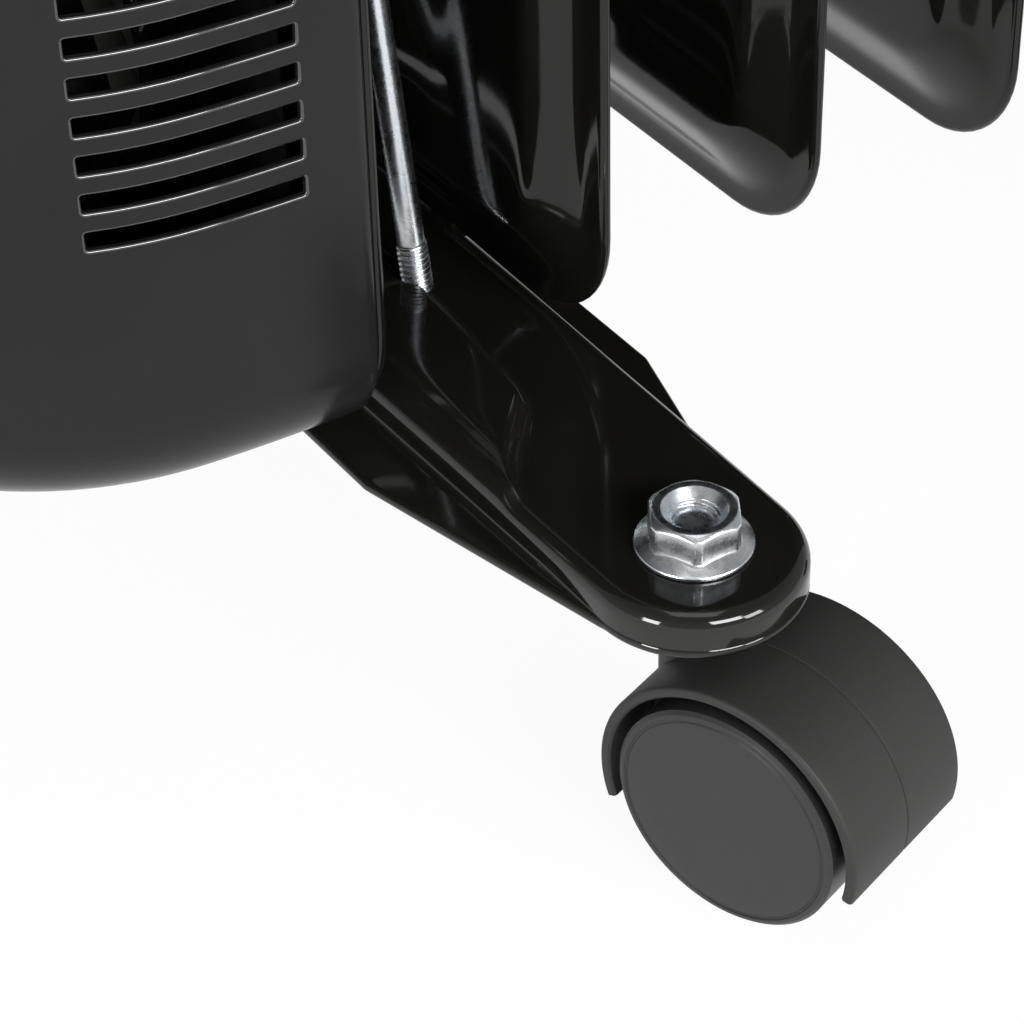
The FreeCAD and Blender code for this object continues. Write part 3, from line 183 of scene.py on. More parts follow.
class SectionSizes(bpy.types.PropertyGroup):
    """Pressed form of a radiator section."""
    sheet: length("Sheet", "Thickness of one pressed sheet", 1.0 * MM)
    corner: length("Corner radius", "Radius of the section's corners", 21.0 * MM)
    seam: length("Seam width", "Flat seam round the panel", 5.4 * MM)
    rise: length("Panel rise", "Height of the raised panel above the seam", 6.0 * MM)
    crest_side: length("Crest from the side", "Panel edge in from the side", 13.0 * MM)
    crest_end: length("Crest from the end", "Panel edge in from the bottom and top", 15.7 * MM)
    crest_corner: length("Crest corner radius", "Radius of the panel's corners", 11.0 * MM)
    header: length("Header height", "Header axis from the section's bottom and top", 50.35 * MM)
    boss: length("Boss radius", "Radius at the foot of the header boss", 36.0 * MM)
    boss_rise: length("Boss rise", "Height of the header boss above the panel", 3.6 * MM)
    neck: length("Neck radius", "Outer radius of the header neck", 23.0 * MM)
    neck_fillet: length("Neck fillet", "Rounding between the boss and the neck", 2.5 * MM)
    groove_x: length("Weld groove position", "Weld grooves from the middle of the panel", 20.0 * MM)
    groove_depth: length("Weld groove depth", "Depth of the weld grooves", 1.0 * MM)


class HousingSizes(bpy.types.PropertyGroup):
    """Control housing and its louvres."""
    wall: length("Wall", "Wall thickness", 1.2 * MM)
    edge: length("Edge radius", "Rounding round the floor and the top", 20.0 * MM)
    rear_lip: length("Rear lip", "Rounding of the rear edge", 0.6 * MM)
    side_start: angle("Side direction", "Outward direction of the side at its rear edge", 2.0)
    side_radius: length("Side radius", "Plan radius of the rear part of the side", 260.0 * MM)
    side_end: angle("Side end", "Outward direction where the side's arc ends", 8.0)
    shoulder_radius: length("Shoulder radius", "Plan radius of the front part of the side", 65.0 * MM)
    shoulder_end: angle("Shoulder end", "Outward direction where the shoulder ends", 42.0)
    corner_radius: length("Corner radius", "Plan radius of the front corner", 28.0 * MM)
    corner_end: angle("Corner end", "Outward direction where the corner ends", 75.0)
    louvres: count("Louvres", "Slots in each side", 20)
    louvre_pitch: length("Louvre pitch", "Distance between slots", 6.45 * MM)
    louvre_slot: length("Louvre slot", "Height of a slot", 3.1 * MM)
    louvre_first: length("First louvre", "Lowest slot above the housing's floor", 53.5 * MM)
    louvre_rear: length("Louvre to rear edge", "Slot ends from the rear edge", 10.7 * MM)
    louvre_length: length("Louvre length", "Length of a slot", 33.0 * MM)
    louvre_lip: length("Louvre lip", "Rounding round each slot", 0.45 * MM)
    louvre_corner: length("Louvre corner", "Corner radius of a slot", 0.8 * MM)
    window_gap: length("Panel gap", "Gap round the control panel", 0.2 * MM)
    window_corner: length("Panel corner", "Corner radius of the panel's opening", 18.2 * MM)


class FootSizes(bpy.types.PropertyGroup):
    """Pressed steel foot."""
    sheet: length("Sheet", "Sheet thickness", 2.0 * MM)
    end: length("End radius", "Radius of the round ends", 17.8 * MM)
    middle: length("Half width", "Half width of the plate at the middle", 19.3 * MM)
    edge: length("Edge radius", "Rounding along the plate's edge", 3.0 * MM)
    brim_front: length("Front brim", "Front edge of the brim from the centre line", 29.0 * MM)
    brim_rear: length("Rear brim", "Rear edge of the brim from the centre line", 26.9 * MM)
    brim_straight: length("Straight brim", "Where the brim starts to taper", 66.5 * MM)
    brim_front_slope: share("Front taper", "Slope of the front brim's taper", 0.2247)
    brim_rear_slope: share("Rear taper", "Slope of the rear brim's taper", 0.28)
    brim_fillet: length("Brim fillet", "Rounding between the skirt and the brim", 1.6 * MM)
    pad_rise: length("Pad rise", "Height of the pad's crest", 2.6 * MM)
    pad_inner: length("Pad inner end", "Where the pad starts", 26.0 * MM)
    pad_outer: length("Pad outer end", "Where the pad's ramp ends on the centre line", 72.2 * MM)
    pad_run: length("Pad run", "Run of the pad's ramp", 3.5 * MM)
    pad_crest: length("Pad crest", "Crest line behind the foot's centre line at its inner end", 2.4 * MM)
    pad_slant: share("Pad slant", "How far the crest line turns forward", 0.085)
    saddle_rise: length("Saddle rise", "Height of the saddle under a section", 2.1 * MM)
    saddle_half: length("Saddle half length", "Half length of the saddle", 27.0 * MM)


class BoltSizes(bpy.types.PropertyGroup):
    """U-bolt, its nuts and the caster nuts."""
    rod: length("Rod radius", "Radius of the bare rod", 2.3 * MM)
    thread: length("Thread radius", "Outer radius of the rolled thread", 2.675 * MM)
    pitch: length("Thread pitch", "Pitch of the U-bolt's thread", 1.0 * MM)
    depth: length("Thread depth", "Depth of the U-bolt's thread", 0.55 * MM)
    above: length("Thread above the foot", "Thread that shows above the plate", 8.6 * MM)
    tail: length("Tail", "Leg below the top of the plate", 13.5 * MM)
    leg_x: length("Leg position", "Leg from the middle where it enters the plate", 35.5 * MM)
    leg_y: length("Leg setback", "Leg behind the foot's centre line", 2.4 * MM)
    gap: length("Neck gap", "Gap between the U-bolt and the header neck", 0.3 * MM)
    flats: length("Across flats", "Caster nut across its flats", 13.8 * MM)
    flange: length("Flange radius", "Radius of the caster nut's flange", 9.3 * MM)
    corner: length("Corner rounding", "How far the nut's corners are rounded in", 0.38 * MM)
    flange_rim: length("Flange rim", "Height of the flange's rim", 0.9 * MM)
    flange_rise: length("Flange rise", "Height where the flange meets the flats", 2.2 * MM)
    mouth: length("Mouth radius", "Radius of the nut's countersink", 5.16 * MM)
    bore: length("Bore radius", "Radius of the caster nut's thread", 4.05 * MM)
    stem_pitch: length("Stem pitch", "Pitch of the caster stem's thread", 1.25 * MM)
    stem_neck: length("Stem journal", "Radius of the stem's journal", 3.4 * MM)
    stem_collar: length("Stem collar", "Radius of the stem's collar", 6.5 * MM)
    stem_collar_high: length("Collar height", "Height of the stem's collar", 2.2 * MM)
    nut_turn: angle("Nut turn", "Direction of one corner of the right front nut", -33.0)


class CasterSizes(bpy.types.PropertyGroup):
    """Twin-wheel caster."""
    wheel: length("Wheel radius", "Radius of a wheel", 20.0 * MM)
    face: length("Wheel face", "Outer face of a wheel from the caster's middle", 15.5 * MM)
    bevel: length("Wheel bevel", "Bevel round the wheel's face", 0.6 * MM)
    groove: length("Groove radius", "Radius of the ring groove", 18.3 * MM)
    hood: length("Hood radius", "Outer radius of the hood", 23.9 * MM)
    hood_wall: length("Hood wall", "Wall thickness of the hood", 1.88 * MM)
    hood_half: length("Hood half width", "Half width of the hood", 14.77 * MM)
    hood_edge: length("Hood edge", "Rounding of the hood's rims", 0.7 * MM)
    outer_drop: angle("Outer drop", "Where the hood ends, away from the stem", 12.5)
    inner_drop: angle("Inner drop", "Where the hood ends, beside the stem", 20.0)
    trail: length("Trail", "Axle from the stem", 16.75 * MM)
    swivel: angle("Swivel", "Resting direction from the X axis", 17.72)
    boss: length("Stem boss", "Radius of the stem's boss", 5.3 * MM)
    web: length("Web", "Half thickness of the web", 3.0 * MM)
    hub: length("Hub", "Radius of a wheel's hub", 5.6 * MM)
    axle: length("Axle radius", "Radius of the axle", 2.5 * MM)
    axle_half: length("Axle half length", "Half length of the axle", 12.5 * MM)


class ControlSizes(bpy.types.PropertyGroup):
    """Panel and knobs."""
    thermostat_skirt: length("Thermostat skirt", "Radius of the thermostat knob's skirt", 21.0 * MM)
    thermostat_grip: length("Thermostat grip", "Radius of the thermostat knob's grip", 16.5 * MM)
    thermostat_marks: count("Thermostat marks", "Marks round the thermostat knob", 13)
    selector_skirt: length("Selector skirt", "Radius of the selector knob's skirt", 17.0 * MM)
    selector_grip: length("Selector grip", "Radius of the selector knob's grip", 13.0 * MM)
    selector_marks: count("Selector marks", "Marks round the selector knob", 4)
    thermostat_sweep: angle("Thermostat sweep", "Turn of the thermostat knob between its limits", 270.0)
    selector_sweep: angle("Selector sweep", "Turn of the selector knob between its limits", 135.0)
    skirt: length("Skirt height", "Height of a knob's skirt", 4.0 * MM)
    ribs: count("Ribs", "Grip ribs round a knob", 24)
    rib_depth: length("Rib depth", "Depth between two ribs", 0.7 * MM)
    ridge: length("Pointer ridge", "Height of the pointer ridge above the grip", 0.7 * MM)
    panel_rounding: length("Panel rounding", "Rounding round the panel", 1.0 * MM)


class Finishes(bpy.types.PropertyGroup):
    """Colours of the visible finishes, in linear light."""
    enamel: colour("Black enamel", "Sections and feet", 0.0062, 0.0060, 0.0053)
    housing: colour("Housing enamel", "Control housing", 0.0126, 0.0121, 0.0123)
    zinc: colour("Zinc plate", "Nuts, bolts and stems", 0.88, 0.92, 0.96)
    hood: colour("Hood plastic", "Caster hoods", 0.0218, 0.0214, 0.0205)
    wheel: colour("Wheel plastic", "Caster wheels", 0.0235, 0.0232, 0.0228)
    satin: colour("Satin plastic", "Handle, knobs and gland", 0.012, 0.012, 0.0122)
    panel: colour("Panel plastic", "Control panel", 0.004, 0.004, 0.0042)
    lens: colour("Pilot lens", "Pilot lens", 0.42, 0.016, 0.008)


class StageSizes(bpy.types.PropertyGroup):
    """Camera, floor and lights."""
    azimuth: angle("Azimuth", "Camera direction", 56.23)
    elevation: angle("Elevation", "Camera height angle", 39.74)
    roll: angle("Roll", "Camera roll", -1.475)
    distance: length("Distance", "Camera to its target", 0.55556)
    target: bpy.props.FloatVectorProperty(name="Target", description="Target from the middle of the front foot",
                                          default=(0.08559, -0.01345, 0.050), size=3, subtype="TRANSLATION")
    lens: bpy.props.FloatProperty(name="Lens", description="Focal length in millimetres", default=124.44)
    floor: length("Floor", "Half size of the floor", 12.0)


class RadiatorSettings(bpy.types.PropertyGroup):
    """All sizes and finishes of the radiator."""
    section: bpy.props.PointerProperty(type=SectionSizes)
    housing: bpy.props.PointerProperty(type=HousingSizes)
    foot: bpy.props.PointerProperty(type=FootSizes)
    bolt: bpy.props.PointerProperty(type=BoltSizes)
    caster: bpy.props.PointerProperty(type=CasterSizes)
    controls: bpy.props.PointerProperty(type=ControlSizes)
    finish: bpy.props.PointerProperty(type=Finishes)
    stage: bpy.props.PointerProperty(type=StageSizes)


def settings():
    """The radiator's settings in this scene."""
    return bpy.context.scene.radiator


# ---- node trees -------------------------------------------------------------
class Wire:
    """A node socket that takes part in plain arithmetic."""

    def __init__(self, tree, socket):
        self.tree = tree
        self.socket = socket

    def math(self, operation, *values):
        node = self.tree.nodes.new("ShaderNodeMath")
        node.operation = operation
        for slot, value in zip(node.inputs, values):
            if isinstance(value, Wire):
                self.tree.links.new(value.socket, slot)
            else:
                slot.default_value = value
        return Wire(self.tree, node.outputs[0])

    def __add__(self, other):
        return self.math("ADD", self, other)

    def __radd__(self, other):
        return self.math("ADD", other, self)

    def __sub__(self, other):
        return self.math("SUBTRACT", self, other)

    def __rsub__(self, other):
        return self.math("SUBTRACT", other, self)

    def __mul__(self, other):
        return self.math("MULTIPLY", self, other)

    def __truediv__(self, other):
        return self.math("DIVIDE", self, other)

    def outlet(self, key):
        """Another outlet of the same node."""
        return Wire(self.tree, self.socket.node.outputs[key])


class Board:
    """A node tree with one way to add a node."""

    def __init__(self, tree):
        self.tree = tree

    def node(self, kind, outlet=0, setup=None, **inputs):
        """Adds a node: its settings first, then its sockets by name with _ for a blank. Returns one outlet."""
        node = self.tree.nodes.new(kind)
        for key, value in (setup or {}).items():
            if key == "stops":
                ramp = node.color_ramp
                while len(ramp.elements) > 1:
                    ramp.elements.remove(ramp.elements[-1])
                ramp.elements[0].position, ramp.elements[0].color = value[0]
                for position, shade in value[1:]:
                    ramp.elements.new(position).color = shade
            else:
                setattr(node, key, value)
        for key, value in inputs.items():
            slot = node.inputs[int(key[1:])] if key[0] == "_" else node.inputs[key.replace("_", " ")]
            if isinstance(value, Wire):
                self.tree.links.new(value.socket, slot)
            else:
                slot.default_value = value
        return Wire(self.tree, node.outputs[outlet]) if len(node.outputs) else None


# ---- finishes ---------------------------------------------------------------
def new_material(name):
    """A bare material and its board."""
    material = bpy.data.materials.new(name)
    material.use_nodes = True
    material.node_tree.nodes.clear()
    return material, Board(material.node_tree)


def close_material(material, board, shader):
    """Links the shader to the output."""
    board.node("ShaderNodeOutputMaterial", Surface=shader)
    return material


def object_space(board):
    """Object coordinates."""
    return board.node("ShaderNodeTexCoord", 3)


def noise(board, place, scale, detail=2.0, rough=0.5):
    """Noise at a number of cells for each metre."""
    return board.node("ShaderNodeTexNoise", 0, Vector=place, Scale=scale, Detail=detail, Roughness=rough)


def mixed(board, mask, low, high):
    """A colour between two, by a mask."""
    return board.node("ShaderNodeMix", 2, {"data_type": "RGBA"}, _0=mask, _6=(*low, 1), _7=(*high, 1))


def enamel(name, tint, ior, wave, speck, smooth=0.045):
    """Glossy stoved enamel with a faint orange peel."""
    material, board = new_material(name)
    place = object_space(board)
    peel = noise(board, place, 210.0, 1.0)
    swell = noise(board, place, 38.0, 1.0)
    dust = noise(board, place, 900.0, 2.0)
    height = peel * (wave * 0.35) + swell * wave
    normal = board.node("ShaderNodeBump", 0, Strength=1.0, Distance=1.0, Height=height)
    shade = mixed(board, swell, [c * 0.85 for c in tint], [c * 1.15 for c in tint])
    rough = smooth + dust * speck
    shader = board.node("ShaderNodeBsdfPrincipled", 0, None, Base_Color=shade, Roughness=rough, IOR=ior,
                        Normal=normal)
    return close_material(material, board, shader)


def zinc(name, tint, rough_low, rough_high, texture, hammer):
    """Bright zinc plate with fine handling marks."""
    material, board = new_material(name)
    place = object_space(board)
    cloud = noise(board, place, 420.0, 3.0, 0.6)
    grain = noise(board, place, 2600.0, 3.0, 0.6)
    shade = mixed(board, cloud, [c * 0.74 for c in tint], tint)
    rough = rough_low + cloud * (rough_high - rough_low)
    height = grain * texture + cloud * hammer
    normal = board.node("ShaderNodeBump", 0, Strength=1.0, Distance=1.0, Height=height)
    shader = board.node("ShaderNodeBsdfPrincipled", 0, None, Base_Color=shade, Metallic=1.0, Roughness=rough,
                        Normal=normal)
    return close_material(material, board, shader)


def moulded(name, tint, rough, grain_size, grain_height):
    """Moulded plastic with a fine spark-eroded grain."""
    material, board = new_material(name)
    place = object_space(board)
    grain = noise(board, place, 1.0 / grain_size, 2.0, 0.6)
    cloud = noise(board, place, 120.0, 2.0)
    shade = mixed(board, grain, [c * 0.72 for c in tint], [c * 1.3 for c in tint])
    roughness = rough + (cloud - 0.5) * 0.08
    normal = board.node("ShaderNodeBump", 0, Strength=1.0, Distance=1.0, Height=grain * grain_height)
    shader = board.node("ShaderNodeBsdfPrincipled", 0, None, Base_Color=shade, Roughness=roughness,
                        IOR=PLASTIC_IOR, Normal=normal)
    return close_material(material, board, shader)


def lens_finish(name, tint):
    """Clear coloured lens with a glossy face."""
    material, board = new_material(name)
    place = object_space(board)
    cloud = noise(board, place, 700.0, 2.0)
    shade = mixed(board, cloud, [c * 0.8 for c in tint], tint)
    shader = board.node("ShaderNodeBsdfPrincipled", 0, None, Base_Color=shade, Roughness=0.08, Coat_Weight=0.6)
    return close_material(material, board, shader)


def make_finishes():
    """Every finish by the name of its slot."""
    tint = settings().finish
    return {
        "black_enamel": enamel("black_enamel", tint.enamel, 1.43, 2.2e-5, 0.05),
        # painted light: the feet get the sections' black enamel made a quarter brighter, so their upward-facing
        # tops read lighter as if lit
        "foot_enamel": enamel("foot_enamel", [c * 1.25 for c in tint.enamel], 1.54, 2.2e-5, 0.06),
        "housing_enamel": enamel("housing_enamel", tint.housing, 1.30, 1.0e-5, 0.05, 0.16),
        "zinc_plated_steel": zinc("zinc_plated_steel", tint.zinc, 0.16, 0.40, 1.6e-5, 5.0e-5),
        # painted shade: the galvanised shield is near-black instead of bright zinc, so that it reads as the shade
        # behind the louvres
        "galvanised_sheet": zinc("galvanised_sheet", (0.035, 0.035, 0.035), 0.5, 0.7, 1e-5, 2e-5),
        # painted shade: near-black steel on the element flange stands in for the shade inside the housing, seen
        # through the louvres
        "blackened_steel": zinc("blackened_steel", (0.030, 0.029, 0.027), 0.5, 0.7, 1e-5, 2e-5),
        "housing_lip": enamel("housing_lip", tint.housing, 1.9, 0.4e-5, 0.03, 0.05),
        "sheathed_tube": zinc("sheathed_tube", (0.28, 0.27, 0.26), 0.35, 0.55, 2e-5, 2e-5),
        # painted shade: the brass is darkened well below its own colour, to read as the shade inside the housing
        "brass_terminals": zinc("brass_terminals", (0.24, 0.16, 0.06), 0.35, 0.55, 1e-5, 2e-5),
        "seal_rubber": moulded("seal_rubber", (0.012, 0.012, 0.012), 0.8, 0.4 * MM, 2e-5),
        "panel_gloss": enamel("panel_gloss", tint.panel, 1.46, 0.4e-5, 0.06),
        "dial_print": moulded("dial_print", (0.50, 0.50, 0.49), 0.5, 0.35 * MM, 0.4e-5),
        "black_satin_plastic": moulded("black_satin_plastic", tint.satin, 0.42, 0.35 * MM, 1.2e-5),
        # painted shade: the switch and terminal plastics are near-black instead of their own light colours, so the
        # inner parts read as shade through the louvres
        "switch_plastic": moulded("switch_plastic", (0.030, 0.029, 0.027), 0.45, 0.4 * MM, 1e-5),
        "terminal_plastic": moulded("terminal_plastic", (0.045, 0.043, 0.040), 0.5, 0.4 * MM, 1e-5),
        "lens_red": lens_finish("lens_red", tint.lens),
        "lamp_glass": lens_finish("lamp_glass", (0.8, 0.4, 0.2)),
        "hood_plastic": moulded("hood_plastic", tint.hood, 0.55, 0.32 * MM, 2.6e-5),
        "wheel_plastic": moulded("wheel_plastic", tint.wheel, 0.42, 0.5 * MM, 0.6e-5),
    }


FINISHES = {}  # filled once, when the first piece asks for its finish
# the element flange's near-black steel is painted shade
OWN_FINISH = {"element_flange": "blackened_steel"}  # where the finish isn't the slot's own


def finish(slot):
    """The material of a slot, made once."""
    if not FINISHES:
        FINISHES.update(make_finishes())
        FINISHES["floor"] = floor_material()
    return FINISHES[slot]


# ---- meshes -----------------------------------------------------------------
class Skin:
    """Points and faces that become one mesh."""

    def __init__(self):
        self.blocks = []
        self.faces = []
        self.size = 0

    def add(self, points):
        """Adds points and returns the index of the first."""
        points = np.asarray(points, float).reshape(-1, 3)
        start = self.size
        self.blocks.append(points)
        self.size += len(points)
        return start

    def grid(self, points, wrap=False, skip=None):
        """Adds a grid of points with quads between them. wrap closes the second direction."""
        points = np.asarray(points, float)
        rows, columns = points.shape[:2]
        start = self.add(points)
        spans = columns if wrap else columns - 1
        for i in range(rows - 1):
            for j in range(spans):
                if skip is not None and skip[i, j]:
                    continue
                k = (j + 1) % columns
                self.faces.append((start + i * columns + j, start + i * columns + k,
                                   start + (i + 1) * columns + k, start + (i + 1) * columns + j))
        return start

    def cap(self, points):
        """Adds one flat face."""
        start = self.add(points)
        self.faces.append(tuple(range(start, self.size)))

    def merge(self, other, matrix):
        """Adds another skin, placed by a matrix."""
        moved = moved_points(np.concatenate(other.blocks), matrix)
        start = self.add(moved)
        self.faces += [tuple(start + i for i in face) for face in other.faces]

    def placed(self, matrix):
        """The same skin, placed by a matrix."""
        moved = Skin()
        moved.merge(self, matrix)
        return moved

    def object(self, name, slot, sharp=35.0, trim=None):
        """The finished object: doubles merged, faces outward, smooth apart from sharp edges.

        trim gives a second finish to a run of faces: the finish, the first face and the one after the last.
        """
        mesh = bpy.data.meshes.new(name)
        mesh.from_pydata(np.concatenate(self.blocks).tolist(), [], self.faces)
        if trim:
            for polygon in mesh.polygons[trim[1]:trim[2]]:
                polygon.material_index = 1
        work = bmesh.new()
        work.from_mesh(mesh)
        bmesh.ops.remove_doubles(work, verts=work.verts, dist=JOIN)
        bmesh.ops.dissolve_degenerate(work, edges=work.edges, dist=JOIN)
        bmesh.ops.recalc_face_normals(work, faces=work.faces)
        finish_edges(work, sharp)
        work.to_mesh(mesh)
        work.free()
        mesh.materials.append(finish(slot))
        if trim:
            mesh.materials.append(finish(trim[0]))
        return in_scene(name, mesh)


def in_scene(name, data):
    """A new object of some data, linked to the scene."""
    thing = bpy.data.objects.new(name, data)
    bpy.context.scene.collection.objects.link(thing)
    return thing


def wrapped(points):
    """A skin of one grid that closes in its second direction."""
    skin = Skin()
    skin.grid(points, wrap=True)
    return skin


def finish_edges(work, sharp):
    """Smooth faces, with edges above an angle in degrees kept sharp."""
    limit = radians(sharp)
    for face in work.faces:
        face.smooth = True
    for edge in work.edges:
        edge.smooth = len(edge.link_faces) == 2 and edge.calc_face_angle(0.0) < limit


def moved_points(points, matrix):
    """Points placed by a 4x4 matrix."""
    turn = np.array(matrix)
    points = np.asarray(points, float)
    return points @ turn[:3, :3].T + turn[:3, 3]


def lathe_points(profile, steps):
    """A profile of (radius, height) turned about Z."""
    profile = np.asarray(profile, float)
    around = np.linspace(0, 2 * pi, steps, endpoint=False)
    ring = np.stack([np.cos(around), np.sin(around)], -1)
    points = np.zeros((len(profile), steps, 3))
    points[:, :, :2] = profile[:, None, :1] * ring[None]
    points[:, :, 2] = profile[:, 1:2]
    return points


def rounded_profile(profile, radii, steps):
    """A profile whose corners are rounded, each by its own radius."""
    profile = [np.array(p, float) for p in profile]
    smooth = [profile[0]]
    for before, point, after, radius in zip(profile, profile[1:], profile[2:], radii):
        if radius <= 0:
            smooth.append(point)
            continue
        back = before - point
        ahead = after - point
        back_length = np.linalg.norm(back)
        ahead_length = np.linalg.norm(ahead)
        cosine = float(np.dot(back, ahead) / (back_length * ahead_length))
        half = acos(max(-1.0, min(1.0, cosine))) / 2
        reach = min(radius / tan(half), back_length * 0.49, ahead_length * 0.49)
        start = point + back / back_length * reach
        end = point + ahead / ahead_length * reach
        for t in np.linspace(0, 1, steps + 1):
            smooth.append((1 - t) ** 2 * start + 2 * t * (1 - t) * point + t ** 2 * end)
    smooth.append(profile[-1])
    return np.array(smooth)


def axis_matrix(origin, direction):
    """Places a Z-axis form on an origin along a direction."""
    turn = Vector((0, 0, 1)).rotation_difference(Vector(direction)).to_matrix().to_4x4()
    return Matrix.Translation(Vector(origin)) @ turn


def settle(thing, node):
    """Rides a piece on its node's body and lets it stand for the node."""
    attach(thing, frame["nodes"][node]["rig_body"])
    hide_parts(node)
    return thing


def baked(thing, name):
    """A plain mesh of a piece with its modifiers applied; the piece itself goes."""
    bpy.context.view_layer.update()
    view = bpy.context.evaluated_depsgraph_get()
    mesh = bpy.data.meshes.new_from_object(thing.evaluated_get(view))
    bpy.data.objects.remove(thing)
    return in_scene(name, mesh)


def joined(things, name):
    """One mesh object out of several, each of them in its own finish."""
    work = bmesh.new()
    materials = []
    for thing in things:
        own = next(material for material in thing.data.materials if material)
        if own not in materials:
            materials.append(own)
        for polygon in thing.data.polygons:
            polygon.material_index = materials.index(own)
        work.from_mesh(thing.data)
    mesh = bpy.data.meshes.new(name)
    work.to_mesh(mesh)
    work.free()
    for material in materials:
        mesh.materials.append(material)
    whole = in_scene(name, mesh)
    for thing in things:
        bpy.data.objects.remove(thing)
    return whole


# ---- repeating forms --------------------------------------------------------
def new_group(name, inputs):
    """A Geometry Nodes group with named inputs and one geometry output."""
    tree = bpy.data.node_groups.new(name, "GeometryNodeTree")
    tree.interface.new_socket("Geometry", in_out="INPUT", socket_type="NodeSocketGeometry")
    for label, kind in inputs:
        tree.interface.new_socket(label, in_out="INPUT", socket_type=kind)
    tree.interface.new_socket("Geometry", in_out="OUTPUT", socket_type="NodeSocketGeometry")
    board = Board(tree)
    entry = tree.nodes.new("NodeGroupInput")
    outlets = {socket.name: Wire(tree, socket) for socket in entry.outputs if socket.name}
    return tree, board, outlets


def close_group(board, geometry, material):
    """Realizes the geometry, gives it its material and ends the group."""
    real = board.node("GeometryNodeRealizeInstances", Geometry=geometry)
    painted = board.node("GeometryNodeSetMaterial", Geometry=real, Material=material)
    exit_node = board.tree.nodes.new("NodeGroupOutput")
    board.tree.links.new(painted.socket, exit_node.inputs[0])


def run_group(tree, carrier, values, name):
    """Runs a group on an object and returns the plain result."""
    modifier = carrier.modifiers.new(tree.name, "NODES")
    modifier.node_group = tree
    for item in tree.interface.items_tree:
        if item.item_type == "SOCKET" and item.in_out == "INPUT" and item.name in values:
            modifier[item.identifier] = values[item.name]
    return baked(carrier, name)


def empty_mesh(name, points=()):
    """An object that carries only points."""
    mesh = bpy.data.meshes.new(name)
    mesh.from_pydata([tuple(p) for p in points], [], [])
    return in_scene(name, mesh)


def thread_group():
    """A rolled thread about Z: a sheet wrapped round, its radius following the pitch."""
    kinds = [("Radius", "NodeSocketFloat"), ("Depth", "NodeSocketFloat"), ("Pitch", "NodeSocketFloat"),
             ("Length", "NodeSocketFloat"), ("Runout", "NodeSocketFloat"), ("Material", "NodeSocketMaterial")]
    tree, board, get = new_group("rolled_thread", kinds)
    rows = get["Length"] / get["Pitch"] * THREAD_ROWS
    sheet = board.node("GeometryNodeMeshGrid", 0, None, Size_X=1.0, Size_Y=1.0, Vertices_X=THREAD_COLUMNS,
                       Vertices_Y=rows)
    turn = board.node("ShaderNodeSeparateXYZ", 0, None, _0=board.node("GeometryNodeInputPosition"))
    rise = turn.outlet(1) + 0.5
    height = rise * get["Length"]
    phase = height / get["Pitch"] - turn
    saw = phase.math("FRACT", phase) - 0.5
    wave = saw.math("ABSOLUTE", saw) * 2.0
    soft = wave.math("SMOOTH_MIN", wave * 1.25, 0.95, 0.2)
    soft = soft.math("SMOOTH_MAX", soft, 0.12, 0.1)
    fade = ((1.0 - rise) * get["Length"] / get["Runout"])
    fade = fade.math("MINIMUM", fade, 1.0)
    radius = get["Radius"] - get["Depth"] * (1.0 - soft) * fade - get["Depth"] * 0.35 * (1.0 - fade)
    spin = turn * (2 * pi)
    target = board.node("ShaderNodeCombineXYZ", 0, None, X=radius * spin.math("COSINE", spin),
                        Y=radius * spin.math("SINE", spin), Z=height)
    formed = board.node("GeometryNodeSetPosition", Geometry=sheet, Position=target)
    closed = board.node("GeometryNodeMergeByDistance", Geometry=formed, Distance=1e-6)
    smooth = board.node("GeometryNodeSetShadeSmooth", Geometry=closed)
    close_group(board, smooth, get["Material"])
    return tree


def thread(name, radius, depth, pitch, size, runout, slot):
    """A length of rolled thread standing on the origin."""
    tree = bpy.data.node_groups.get("rolled_thread") or thread_group()
    values = {"Radius": radius, "Depth": depth, "Pitch": pitch, "Length": size, "Runout": runout,
              "Material": finish(slot)}
    return run_group(tree, empty_mesh(name + "_carrier"), values, name)


def repeat_group():
    """Copies of one object on the points of a mesh, each turned and scaled by the point's own values."""
    kinds = [("Item", "NodeSocketObject"), ("Material", "NodeSocketMaterial")]
    tree, board, get = new_group("repeated_fastener", kinds)
    item = board.node("GeometryNodeObjectInfo", "Geometry", {"transform_space": "ORIGINAL"}, Object=get["Item"])
    angles = board.node("GeometryNodeInputNamedAttribute", 0, {"data_type": "FLOAT_VECTOR"}, Name="turn")
    turn = board.node("FunctionNodeEulerToRotation", 0, None, Euler=angles)
    sizes = board.node("GeometryNodeInputNamedAttribute", 0, {"data_type": "FLOAT_VECTOR"}, Name="stretch")
    copies = board.node("GeometryNodeInstanceOnPoints", 0, None, Points=get["Geometry"], Instance=item,
                        Rotation=turn, Scale=sizes)
    close_group(board, copies, get["Material"])
    return tree


def repeated(item, places, name, slot):
    """The item at each place, a 4x4 matrix of a turn and a move. The item itself goes."""
    tree = bpy.data.node_groups.get("repeated_fastener") or repeat_group()
    carrier = empty_mesh(name + "_places", [place.to_translation() for place in places])
    turns = carrier.data.attributes.new("turn", "FLOAT_VECTOR", "POINT")
    sizes = carrier.data.attributes.new("stretch", "FLOAT_VECTOR", "POINT")
    for k, place in enumerate(places):
        turns.data[k].vector = place.to_euler()[:]
        sizes.data[k].vector = place.to_scale()[:]
    result = run_group(tree, carrier, {"Item": item, "Material": finish(slot)}, name)
    bpy.data.objects.remove(item)
    return result


